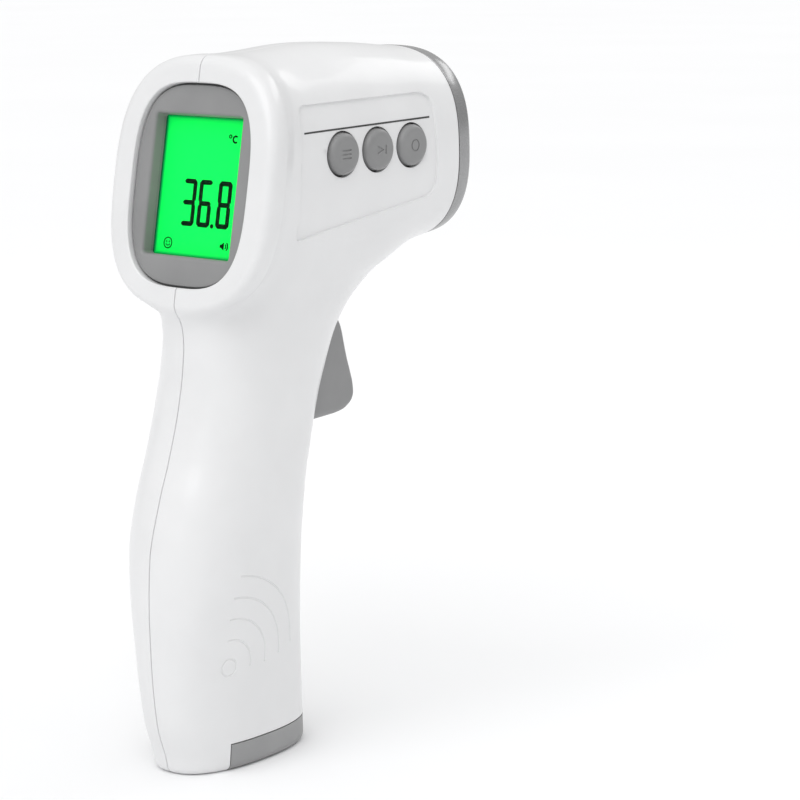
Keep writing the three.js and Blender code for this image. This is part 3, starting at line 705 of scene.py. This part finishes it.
SCREW_NODES = ["case_screw_%d" % (i + 1) for i in range(5)]
BUTTON_NODES = ["rear_button", "middle_button", "front_button"]
button_joints = {j["child"]: j for j in frame["record"]["behaviour"]["joints"]}
press_axis = Vector(button_joints["rear_button"]["axis"]).normalized()


def button_frame(node):
    """Origin on the panel's surface in the middle of a button; local X runs into the panel."""
    origin = Vector(node_middle(node)) - press_axis * (BUTTON_LENGTH / 2 - BUTTON_PROUD)
    return Matrix.Translation(origin) @ press_axis.to_track_quat("X", "Z").to_matrix().to_4x4()


def cavity_cutter():
    """The room inside the case, less its bosses for the screws and the trigger's pin, and its hinge block."""
    low, high = (-28, -24.5, -1), (64.5, 24.5, 166)
    cavity = make_object("cavity", *field_surface(cavity_field, low, high, CAVITY_CELL, relax=1))
    fittings = [cross_rod(node, -30, 30, SCREW_BOSS) for node in SCREW_NODES]
    fittings += [cross_rod("trigger_pin", end * 7.6, end * 20, 2.6) for end in (-1, 1)]
    fittings.append(box_object("hinge_block", (-19.5, -8.2, 0), (-13.4, 8.2, 4.2)))
    return combine(cavity, fittings)


def copy_of(obj):
    return add_to_scene(bpy.data.objects.new(obj.name, obj.data.copy()))


def rounded_outline(corners, radius):
    """A closed outline through straight edges and rounded corners, with close, even points."""
    following, before = np.roll(corners, -1, axis=0), np.roll(corners, 1, axis=0)
    points = []
    for corner, ahead, behind in zip(corners, following, before):
        to_ahead, to_behind = ahead - corner, behind - corner
        length, length_behind = np.linalg.norm(to_ahead), np.linalg.norm(to_behind)
        reach = min(radius, 0.45 * length)
        start = corner + to_behind * min(radius, 0.45 * length_behind) / length_behind
        end = corner + to_ahead * reach / length
        for share in np.linspace(0, 1, 10):
            points.append(start * (1 - share) ** 2 + corner * 2 * share * (1 - share) + end * share ** 2)
        straight = length - 2 * reach
        count = int(straight)
        for share in np.arange(1, count) / max(count, 1):
            points.append(end + to_ahead / length * straight * share)
    return np.array(points)


def outline_normals(outline):
    """Flat unit directions that point out of a closed outline."""
    tangent = np.roll(outline, -1, axis=0) - np.roll(outline, 1, axis=0)
    tangent /= np.linalg.norm(tangent, axis=1)[:, None]
    outward = np.stack([tangent[:, 1], -tangent[:, 0]], axis=1)
    if ((outline - outline.mean(axis=0)) * outward).sum() < 0:
        outward = -outward
    return outward


def panel_cutter():
    """Sinks the button panel: steep walls with a small rounding, and a floor that follows the case."""
    outline = rounded_outline(PANEL_CORNERS, 2.0)
    outward = outline_normals(outline)
    middle = (PANEL_CORNERS.max(axis=0) + PANEL_CORNERS.min(axis=0)) / 2
    rings = []
    outward_and_down = [
        (0.3, -2.5), (0.3, -0.12), (0.26, -0.02), (0.16, 0.05),
        (0.07, 0.15), (0.02, 0.3), (-0.02, 0.45), (-0.12, 0.57),
    ]
    for extra, sink in outward_and_down:
        rings.append(on_side(outline + outward * extra, sink))
    for share in (0.985, 0.95, 0.9, 0.8, 0.7, 0.6, 0.5, 0.4, 0.3, 0.2, 0.1, 0.03):
        rings.append(on_side(middle + (outline - middle) * share, PANEL_SINK))
    return loft("panel", rings)


def groove(path):
    """A fine engraved line along (x, z) points on the case's right side."""
    return tube("groove", on_side(path) - (0, 0.1, 0), GROOVE_RADIUS, 10)


def arc_path(centre, radius, start, end, steps=28):
    turns = np.radians(np.linspace(start, end, steps))
    return np.stack([centre[0] + radius * np.cos(turns), centre[1] + radius * np.sin(turns)], axis=1)


def wave_cutters():
    """The plain engraved waves on the grip: arcs that spread from a small ring."""
    cutters = [
        groove(arc_path(WAVE_MIDDLE, 6.5 + 5 * i, 4 * i - 8, 98 - 4 * i)) for i in range(4)
    ]
    for start in (0, 180):
        cutters.append(groove(arc_path(WAVE_MIDDLE, 2.0, start - 3, start + 183, 20)))
    return cutters


def nose_cutter():
    """Cuts the head's front end flat and rounds its outer edge."""
    half_width, half_height = head_width(HEAD_LENGTH), head_height(HEAD_LENGTH)
    steps = [
        (0, -0.32), (-0.03, -0.2), (-0.1, -0.1), (-0.2, -0.03),
        (-0.32, 0.01), (-0.5, 0.06), (-0.5, 6), (8, 6),
    ]
    return oval_cutter("nose_cut", half_width, half_height, NOSE_POWER, nose_frame, steps)


def shell_cutters(side):
    """Every hole and groove in one shell half, apart from its hollow."""
    slot = TRIGGER_HALF_WIDTH + TRIGGER_GAP
    cutters = [
        oval_cutter("window", *WINDOW, display_frame, rounded_mouth(4.0, WINDOW_ROUNDING)),
        nose_cutter(),
        box_object("trigger_slot", (17, -slot, 75.4), (52, slot, 103.0)),
        cross_rod("trigger_pin", -9.7, 9.7, TRIGGER_PIN_HOLE),
        box_object("door_cut", (DOOR_BACK - DOOR_GAP, -20, -5), (40, 20, DOOR_TOP + DOOR_GAP)),
        box_object("tongue_cut", (-17.6, -5.8, -5), (-10, 5.8, 4.5)),
        cross_rod("door_hinge_pin", -7.5, 7.5, CASE_HINGE_HOLE, 20),
    ]
    for node in SCREW_NODES:
        cutters.append(cross_rod(node, -6.6, 6, SCREW_HOLE, 20))
        if side > 0:
            cutters.append(cross_rod(node, 5.0, 40, SCREW_RECESS, 32))
    if side < 0:
        cutters.append(panel_cutter())
        cutters += wave_cutters()
        profile = [(BUTTON_HOLE_RADIUS + extra, depth) for depth, extra in rounded_mouth(4.0, 0.3)]
        cutters += [turned("button_hole", profile, 64, button_frame(node)) for node in BUTTON_NODES]
    return cutters


def build_shells():
    cavity = cavity_cutter()
    for name, node, side in (("shell_right", "right_shell", -1), ("shell_left", "left_shell", 1)):
        shell = half_solid(name, side)
        combine(shell, [copy_of(cavity)] + shell_cutters(side))
        finish_mesh(shell, white_plastic, sharp=40)
        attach(shell, "case")
        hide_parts(node)
    discard(cavity)


build_shells()


# ------------------------------------------------------------------ display
LCD_HALF = (13.0, 15.9)
BEZEL_FRONT, BEZEL_BACK, BEZEL_LIP = 1.2, 4.8, 0.9
LCD_FRONT, LCD_BACK = 5.2, 6.8


def corner_angles(half_width, half_height):
    """Angles round a rectangle, closer together at its corners."""
    spread = math.radians(5)
    corner = math.atan2(half_height, half_width)
    sides = np.linspace(0.005, math.pi / 2 - 0.005, 26)
    quarter = np.sort(np.concatenate([sides, corner + np.linspace(-spread, spread, 14)]))
    return np.concatenate([quarter, math.pi - quarter[::-1], math.pi + quarter, 2 * math.pi - quarter[::-1]])


def rectangle_ring(depth, half_width, half_height, radius, matrix, angles):
    """A ring of points round a rectangle with rounded corners, by angle."""
    across, up = np.abs(np.cos(angles)), np.abs(np.sin(angles))
    reach = np.minimum(half_width / np.maximum(across, 1e-9), half_height / np.maximum(up, 1e-9))
    centre = np.array([half_width - radius, half_height - radius])
    ahead = across * centre[0] + up * centre[1]
    root = ahead ** 2 - (centre ** 2).sum() + radius ** 2
    at_corner = (across * reach > centre[0]) & (up * reach > centre[1]) & (root > 0)
    reach = np.where(at_corner, ahead + np.sqrt(np.maximum(root, 0)), reach)
    return flat_ring(depth, reach, angles, matrix)


def rounding_steps(radius, steps=4):
    """Pairs of (back from the face, in from the side) round a quarter circle, from the side to the face."""
    turns = [math.pi / 2 * i / steps for i in range(steps + 1)]
    return [(radius * (1 - math.sin(a)), radius * (1 - math.cos(a))) for a in turns]


def build_bezel():
    angles = corner_angles(*LCD_HALF)
    width, height = WINDOW[0] - BEZEL_GAP, WINDOW[1] - BEZEL_GAP

    def outer(depth, extra):
        return oval_ring(depth, width + extra, height + extra, WINDOW[2], display_frame, angles)

    def inner(depth, extra):
        return rectangle_ring(
            depth, LCD_HALF[0] + extra, LCD_HALF[1] + extra, 0.7 + max(extra, 0), display_frame, angles,
        )

    rings = [outer(BEZEL_BACK, 1.5), outer(2.7, 1.5), outer(2.7, 0)]
    rings += [outer(BEZEL_FRONT + back, -inward) for back, inward in rounding_steps(0.18)]
    rings += [inner(BEZEL_FRONT + back, inward) for back, inward in reversed(rounding_steps(BEZEL_LIP, 6))]
    rings.append(inner(BEZEL_BACK, -0.05))
    bezel = loft("bezel", rings, grey_plastic, closed=True)
    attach(bezel, "case")
    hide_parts("display_bezel")


def display_plate(name, margin, front, back, rounding, material):
    angles = corner_angles(*LCD_HALF)
    rings = []
    for at, direction in ((front, 1), (back, -1)):
        steps = rounding_steps(rounding, 3)
        for back_off, inward in (reversed(steps) if direction > 0 else steps):
            rings.append(rectangle_ring(
                at + direction * back_off, LCD_HALF[0] + margin - inward, LCD_HALF[1] + margin - inward, 0.6,
                display_frame, angles,
            ))
    return loft(name, rings, material)


def build_screen():
    window = display_plate("window", -0.2, 3.8, 4.6, 0.12, clear_window)
    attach(window, "case")
    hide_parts("display_lens")
    screen = display_plate("screen", 1.0, LCD_FRONT, LCD_BACK, 0.1, None)
    layer = screen.data.uv_layers.new(name="UVMap")
    inverse = display_frame.inverted()
    for loop in screen.data.loops:
        local = inverse @ (screen.data.vertices[loop.vertex_index].co / MM)
        layer.data[loop.index].uv = (local.y / (2 * LCD_HALF[0]) + 0.5, local.z / (2 * LCD_HALF[1]) + 0.5)
    finish_mesh(screen, lit_material(*LCD_HALF))
    # The screen's own light would tint the bezel's recess green.
    screen.visible_diffuse = False
    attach(screen, "case")
    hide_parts("lcd_panel")


DIGIT_SEGMENTS = {"3": "abgcd", "6": "afgedc", "8": "abcdefg"}


def digit_bars(digit, left, low, width, height, bar):
    """The lit bars of a seven-segment digit, as (across, up) outlines; across runs to the viewer's right."""
    right, top, middle = left + width, low + height, low + height / 2
    half, slack = bar / 2, 0.12
    ends = {
        "a": ((left, top - half), (right, top - half)), "g": ((left, middle), (right, middle)),
        "d": ((left, low + half), (right, low + half)), "f": ((left + half, middle), (left + half, top)),
        "b": ((right - half, middle), (right - half, top)), "e": ((left + half, low), (left + half, middle)),
        "c": ((right - half, low), (right - half, middle)),
    }
    outlines = []
    for name in DIGIT_SEGMENTS[digit]:
        (x0, y0), (x1, y1) = ends[name]
        level = y0 == y1
        start, end = (x0, x1) if level else (y0, y1)
        start, end = start + half + slack, end - half - slack
        along = [(start, half), (start - half, 0), (start, -half), (end, -half), (end + half, 0), (end, half)]
        outlines.append([(a, y0 + b) if level else (x0 - b, a) for a, b in along])
    return outlines


def arc_band(centre, radius, width, start, end, steps=24):
    """A flat curved band as one outline."""
    outer = arc_path(centre, radius + width / 2, start, end, steps)
    inner = arc_path(centre, radius - width / 2, start, end, steps)
    return np.concatenate([outer, inner[::-1]])


def disc(centre, radius):
    return arc_path(centre, radius, 0, 337.5, 16)


def build_marks():
    """Reading, unit, face and sound marks, as thin plates on the LCD."""
    low, height, bar = -8.95, 10.7, 1.12
    outlines = []
    for digit, left in (("3", -5.75), ("6", -0.95), ("8", 4.85)):
        outlines += digit_bars(digit, left, low, 4.0, height, bar)
    outlines.append(disc((3.85, low + 0.42), 0.52))
    outlines.append(arc_band((6.7, 11.8), 0.35, 0.26, 0, 180))
    outlines.append(arc_band((6.7, 11.8), 0.35, 0.26, 180, 360))
    outlines.append(arc_band((8.3, 11.2), 0.72, 0.42, 50, 310))
    face = (-8.9, -13.1)
    for start in (0, 180):
        outlines.append(arc_band(face, 1.2, 0.26, start, start + 180))
    outlines += [disc((face[0] - 0.42, face[1] + 0.3), 0.2), disc((face[0] + 0.42, face[1] + 0.3), 0.2)]
    outlines.append(arc_band((face[0], face[1] + 0.05), 0.62, 0.22, 205, 335))
    x, y = 6.9, -12.75
    horn = [(0, -0.38), (0.5, -0.38), (1.2, -0.95), (1.2, 0.95), (0.5, 0.38), (0, 0.38)]
    outlines.append([(x + a, y + b) for a, b in horn])
    outlines += [arc_band((x + 1.2, y), radius, 0.28, -50, 50, 10) for radius in (0.62, 1.15)]
    points, faces = [], []
    for outline in outlines:
        base, count = len(points), len(outline)
        for depth in (LCD_FRONT - 0.09, LCD_FRONT - 0.03):
            points += [(depth, -across, up) for across, up in outline]
        faces.append(tuple(base + i for i in range(count)))
        faces.append(tuple(base + count + i for i in reversed(range(count))))
        for i in range(count):
            j = (i + 1) % count
            faces.append((base + j, base + i, base + count + i, base + count + j))
    marks = make_object("screen_marks", place(np.array(points), display_frame), faces, segment_ink, sharp=20)
    face_out(marks)
    finish_mesh(marks, segment_ink, sharp=20)
    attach(marks, "case")


# ------------------------------------------------------------------ nose
RING_DEPTH, RING_WIDTH = 5.1, 4.4
NOSE_HALF = (22.65, 23.42)


def nose_oval(depth, extra, angles):
    return oval_ring(depth, NOSE_HALF[0] + extra, NOSE_HALF[1] + extra, NOSE_POWER, nose_frame, angles)


def nose_circle(depth, radius, angles):
    return oval_ring(depth, radius, radius, 2.0, nose_frame, angles)


def build_nose_ring(angles):
    steps = [(-4.0, -RING_WIDTH), (-4.0, -2.6), (0.25, -2.6)]
    steps += [(0.25 + back, -0.1 - inward) for back, inward in reversed(rounding_steps(0.25, 3))]
    steps.append((3.3, -0.25))
    steps += [(RING_DEPTH - back, -0.3 - inward) for back, inward in rounding_steps(1.3, 6)]
    steps += [(RING_DEPTH - back, inward - RING_WIDTH) for back, inward in reversed(rounding_steps(0.8, 5))]
    rings = [nose_oval(depth, extra, angles) for depth, extra in steps]
    ring = loft("nose_band", rings, silver_paint, closed=True)
    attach(ring, "case")
    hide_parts("nose_ring")


def build_nose_dish(angles):
    """The dark plate inside the ring: a funnel of six low steps down to the sensor."""
    rim, mouth, front, fall, count = 15.4, 8.6, 3.4, 0.6, 6
    outside = [(-1.2, -4.75), (3.1, -4.75), (front, -5.05)]
    rings = [nose_oval(depth, extra, angles) for depth, extra in outside]
    profile = []
    for i in range(count):
        radius, depth = rim - (rim - mouth) * i / count, front - fall * i
        profile += [(radius, depth), (radius - 0.12, depth - fall * 0.85), (radius - 0.3, depth - fall)]
    profile += [(8.5, -0.2), (6.7, -0.35), (6.5, -0.5), (6.5, -1.2)]
    rings += [nose_circle(depth, radius, angles) for radius, depth in profile]
    dish = loft("nose_dish", rings, dark_plastic, closed=True, sharp=25)
    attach(dish, "case")
    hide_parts("nose_plate")


def build_sensor_barrel(angles):
    """The steel tube round the sensor, its bore in seven narrowing steps."""
    profile = [(4.25, -13.0), (6.1, -13.0), (6.2, -12.9), (6.2, 0.2)]
    profile += [(6.05, 0.5), (5.8, 0.6), (5.5, 0.55), (5.35, 0.3)]
    for i in range(7):
        depth = -0.6 - 1.7 * i
        profile += [(5.30 - 0.11 * i, depth), (5.02 - 0.1 * i, depth - 0.25)]
    rings = [nose_circle(depth, radius, angles) for radius, depth in profile]
    barrel = loft("sensor_barrel", rings, steel, closed=True, sharp=25)
    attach(barrel, "case")
    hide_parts("sensor_tube")


# ------------------------------------------------------------------ buttons
def mark_cutters(index, matrix, top):
    """Plain engraved marks, one kind for each button: bars, a triangle with a stroke, and a ring."""
    low, high = -top - 0.6, -top + 0.16
    if index == 0:
        bars = (-0.9, 0.0, 0.9)
        return [box_object("mark", (low, -1.5, z - 0.17), (high, 1.5, z + 0.17), matrix) for z in bars]
    if index == 1:
        corners = np.array([(-1.4, -1.0), (0.9, 0.0), (-1.4, 1.0)])
        rings = [place(np.array([(d, -a, b) for a, b in corners]), matrix) for d in (low, high)]
        return [loft("mark", rings), box_object("mark", (low, -1.7, -1.0), (high, -1.3, 1.0), matrix)]
    angles, profile = even_angles(40), ((low, 1.45), (high, 1.45), (high, 1.1), (low, 1.1))
    rings = [flat_ring(depth, radius, angles, matrix) for depth, radius in profile]
    return [loft("mark", rings, closed=True)]


def build_buttons():
    top = BUTTON_TOP
    edge = [(-1.4, 0.0), (-1.08, 0.03), (-0.8, 0.12), (-0.55, 0.28), (-0.33, 0.5), (-0.15, 0.8)]
    profile = [(0.001, -top + 0.12), (1.5, -top + 0.1), (2.7, -top + 0.05)]
    profile += [(BUTTON_RADIUS + across, -top + down) for across, down in edge]
    profile += [
        (BUTTON_RADIUS - 0.05, -0.1), (BUTTON_RADIUS, 2.2), (5.8, 2.2),
        (5.8, 3.0), (1.5, 3.0), (1.5, 4.7), (0.001, 4.7),
    ]
    for index, node in enumerate(BUTTON_NODES):
        matrix = button_frame(node)
        cap = turned("cap_" + node, profile, 72, matrix, button_plastic)
        combine(cap, mark_cutters(index, matrix, top - 0.12))
        finish_mesh(cap, button_plastic, sharp=35)
        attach(cap, node)
        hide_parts(node)


# ------------------------------------------------------------------ printed line on the panel
def build_line():
    x = np.linspace(LINE_START, LINE_END, 90)
    z = LINE_Z + LINE_SLOPE * (x - 4.8)
    half = LINE_HALF_WIDTH
    rings = []
    for spot_x, spot_z in zip(x, z):
        lower, upper = case_side(np.array([spot_x] * 2), np.array([spot_z - half, spot_z + half]), PANEL_SINK)
        rings.append(np.array([
            (spot_x, lower - 0.05, spot_z - half), (spot_x, upper - 0.05, spot_z + half),
            (spot_x, upper + 0.12, spot_z + half), (spot_x, lower + 0.12, spot_z - half),
        ]))
    line = loft("panel_line", rings, line_ink, sharp=25)
    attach(line, "case")


# ------------------------------------------------------------------ trigger
def trigger_outline():
    """Side outline of the trigger, as a smooth closed run of (x, z) points."""
    front = [(28.4, 102.8), (31.6, 101.2), (33.4, 99.4), (34.4, 97.2), (35.3, 93.9), (36.3, 90.4)]
    tip = [(37.5, 87.0), (38.5, 83.8), (38.75, 81.6), (38.1, 79.6), (36.5, 78.25), (34.5, 77.4), (31.8, 77.0)]
    corners = np.array(front + tip)
    steps = np.linspace(0, len(corners) - 1, 70)
    knots = np.arange(len(corners), dtype=float)
    run = np.stack([smooth_curve(knots, corners[:, axis])(steps) for axis in (0, 1)], axis=1)
    under = np.linspace((31.0, 76.95), (20.2, 76.45), 12)
    heel = np.linspace((19.2, 76.8), (18.25, 78.2), 4)
    back = np.linspace((18.2, 79.5), (18.2, 94.0), 16)
    turns = np.linspace(math.pi, math.pi / 2, 12)
    boss = np.stack([25.5 + 2.8 * np.cos(turns), 101.5 + 2.8 * np.sin(turns)], axis=1)
    rise = np.linspace((18.6, 94.8), (22.3, 100.7), 6)
    return np.concatenate([run, under, heel, back, rise, boss, [(27.2, 103.4)]])


def build_trigger():
    outline = trigger_outline()
    inward = -outline_normals(outline)
    half_width, rounding = TRIGGER_HALF_WIDTH, TRIGGER_ROUNDING
    edge = rounding_steps(rounding, 8)
    right = [(-half_width + back, inset) for inset, back in edge]
    middle = [(y, 0.0) for y in np.linspace(-half_width + rounding, half_width - rounding, 8)[1:-1]]
    left = [(-y, inset) for y, inset in right[::-1]]
    rings = []
    for y, inset in right + middle + left:
        flat = outline + inward * inset
        rings.append(np.stack([flat[:, 0], np.full(len(flat), y), flat[:, 1]], axis=1))
    body = loft("trigger_body", rings, grey_plastic, sharp=40)
    x, _, z = node_middle("trigger_pin")
    cutters = [cross_rod("trigger_pin", -10, 10, TRIGGER_PIN_HOLE, 32)]
    cutters.append(box_object("spring_notch", (10, -3.2, z - 3.4), (x + 3.4, 3.2, z + 6)))
    combine(body, cutters)
    finish_mesh(body, grey_plastic, sharp=40)
    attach(body, "trigger")
    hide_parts("trigger")


# ------------------------------------------------------------------ battery door and its spring
def grip_foot(x, y, z):
    return np.maximum(grip_field(x, y, z), z - 14)


def hollow_ring(z, angles):
    """The inside of the door's wall at one height."""
    back, front = grip_back(z) + DOOR_WALL, grip_front(z) - DOOR_WALL
    reach = oval_reach((front - back) / 2, grip_width(z) - DOOR_WALL, GRIP_POWER, angles)
    flat = np.stack([reach * np.cos(angles), reach * np.sin(angles), np.zeros(len(angles))], axis=1)
    return flat + ((front + back) / 2, 0, z)


def build_door():
    angles = even_angles(RING_POINTS)
    cell = 0.6
    door = make_object("door_body", *field_surface(grip_foot, (-28, -15, -1.5), (25, 15, 16), cell))
    combine(door, [box_object("reach", (DOOR_BACK, -20, -5), (40, 20, DOOR_TOP))], "INTERSECT")
    combine(door, [loft("hollow", [hollow_ring(z, angles) for z in (1.8, 4.0, 6.0, 8.0)])])
    hinge_x = node_middle("door_hinge_pin")[0]
    tongue = box_object("tongue", (hinge_x, -5.5, 0.02), (-9.7, 5.5, 1.8))
    combine(door, [tongue, cross_rod("door_hinge_pin", -5.5, 5.5, 1.45, 40)], "UNION")
    combine(door, [cross_rod("door_hinge_pin", -10, 10, DOOR_PIN_HOLE, 28)])
    finish_mesh(door, door_plastic, sharp=30)
    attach(door, "battery_door")
    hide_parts("battery_door")


def build_door_spring():
    """The coiled contact on the door: four turns that narrow towards their top."""
    low, high = node_box("door_contact_spring")
    middle, wire, turns, narrowing = (low + high) / 2, 0.4, 4, 1.8
    share = np.linspace(0, 1, 180)
    radius = (high[0] - low[0]) / 2 - wire - share * narrowing
    turn = share * turns * 2 * math.pi
    height = low[2] + wire + share * (high[2] - low[2] - 2 * wire)
    path = np.stack([middle[0] + radius * np.cos(turn), middle[1] + radius * np.sin(turn), height], axis=1)
    spring = tube("door_spring", path, wire, 12, spring_steel)
    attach(spring, "battery_door")
    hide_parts("door_contact_spring")


SLOT_MATERIALS = {
    "shell": white_plastic, "grey_plastic": grey_plastic, "nose_silver": silver_paint,
    "dark_plastic": dark_plastic, "lens": clear_window, "diffuser": diffuser_plastic,
    "board": board_green, "chip": chip_plastic, "steel": steel, "spring_wire": spring_steel,
    "cell_wrap": cell_wrap, "ribbon": ribbon_film, "cradle": cradle_plastic,
}


def dress_cad_nodes():
    for part in frame["record"]["subparts"]:
        material = SLOT_MATERIALS.get(part["material_slot"])
        if material is not None:
            for slot in frame["nodes"][part["node"]].material_slots:
                slot.material = material


build_bezel()
build_screen()
build_marks()
build_nose_ring(even_angles(RING_POINTS))
build_nose_dish(even_angles(RING_POINTS))
build_sensor_barrel(even_angles(RING_POINTS))
build_buttons()
build_line()
build_trigger()
build_door()
build_door_spring()
dress_cad_nodes()


# ------------------------------------------------------------------ camera, floor and light
CAMERA_SPOT = (-435.5, -394.9, 191.7)
CAMERA_TURN, CAMERA_DROP = math.radians(38.304), math.radians(10.387)


def turned_towards(direction):
    return Vector(direction).to_track_quat("-Z", "Y")


def build_stage():
    camera_data = bpy.data.cameras.new("camera")
    camera_data.lens, camera_data.sensor_width = 116.46, 36.0
    camera_data.clip_start, camera_data.clip_end = 0.01, 60
    camera = add_to_scene(bpy.data.objects.new("camera", camera_data))
    camera.location = [c * MM for c in CAMERA_SPOT]
    camera.rotation_mode = "QUATERNION"
    level = math.cos(CAMERA_DROP)
    camera.rotation_quaternion = turned_towards(
        (math.cos(CAMERA_TURN) * level, math.sin(CAMERA_TURN) * level, -math.sin(CAMERA_DROP))
    )
    bpy.context.scene.camera = camera

    reach = 20000
    floor_points = [(-reach, -reach, 0), (reach, -reach, 0), (reach, reach, 0), (-reach, reach, 0)]
    floor_material, floor_tree, floor_shader = node_material("floor", 0.9)
    noise_colour(floor_tree, floor_shader, grey(0.905), grey(0.915), 3.0)
    floor = make_object("floor", floor_points, [(0, 1, 2, 3)], floor_material)
    bpy.context.scene.view_settings.view_transform = "Standard"


def build_dome():
    """Light from a dome that is dimmer towards the horizon; the camera sees plain white in its place."""
    world = bpy.data.worlds.new("studio")
    bpy.context.scene.world = world
    world.use_nodes = True
    tree = world.node_tree
    height = add_node(tree, "ShaderNodeVectorMath", operation="DOT_PRODUCT")
    height.inputs[1].default_value = (0, 0, 1)
    tree.links.new(add_node(tree, "ShaderNodeTexCoord").outputs["Generated"], height.inputs[0])
    dome, backdrop = tree.nodes["Background"], add_node(tree, "ShaderNodeBackground")
    for background in (dome, backdrop):
        background.inputs["Color"].default_value = (1.0, 1.0, 1.0, 1)
    tree.links.new(map_range(tree, height.outputs["Value"], end=(0.52, 1.0)), dome.inputs["Strength"])
    choice = add_node(tree, "ShaderNodeMixShader")
    tree.links.new(add_node(tree, "ShaderNodeLightPath").outputs["Is Camera Ray"], choice.inputs["Fac"])
    tree.links.new(dome.outputs["Background"], choice.inputs[1])
    tree.links.new(backdrop.outputs["Background"], choice.inputs[2])
    tree.links.new(choice.outputs["Shader"], tree.nodes["World Output"].inputs["Surface"])


def add_lamp(name, kind, energy, direction, spot=(0, 0, 0)):
    light = bpy.data.lights.new(name, kind)
    light.energy = energy
    lamp = add_to_scene(bpy.data.objects.new(name, light))
    lamp.location = spot
    lamp.rotation_mode = "QUATERNION"
    lamp.rotation_quaternion = turned_towards(direction)
    return light


def build_lamps():
    """A wide soft sun from behind and above, and a soft strip in front."""
    sun = add_lamp("sun", "SUN", 1.1, (0.64, 0.14, -0.74))
    sun.angle = math.radians(55)
    strip = add_lamp("strip", "AREA", 0.45, (-0.77, 0.17, -0.58), (0.66, -0.14, 0.62))
    strip.shape = "RECTANGLE"
    strip.size, strip.size_y = 0.5, 0.16


build_stage()
build_dome()
build_lamps()
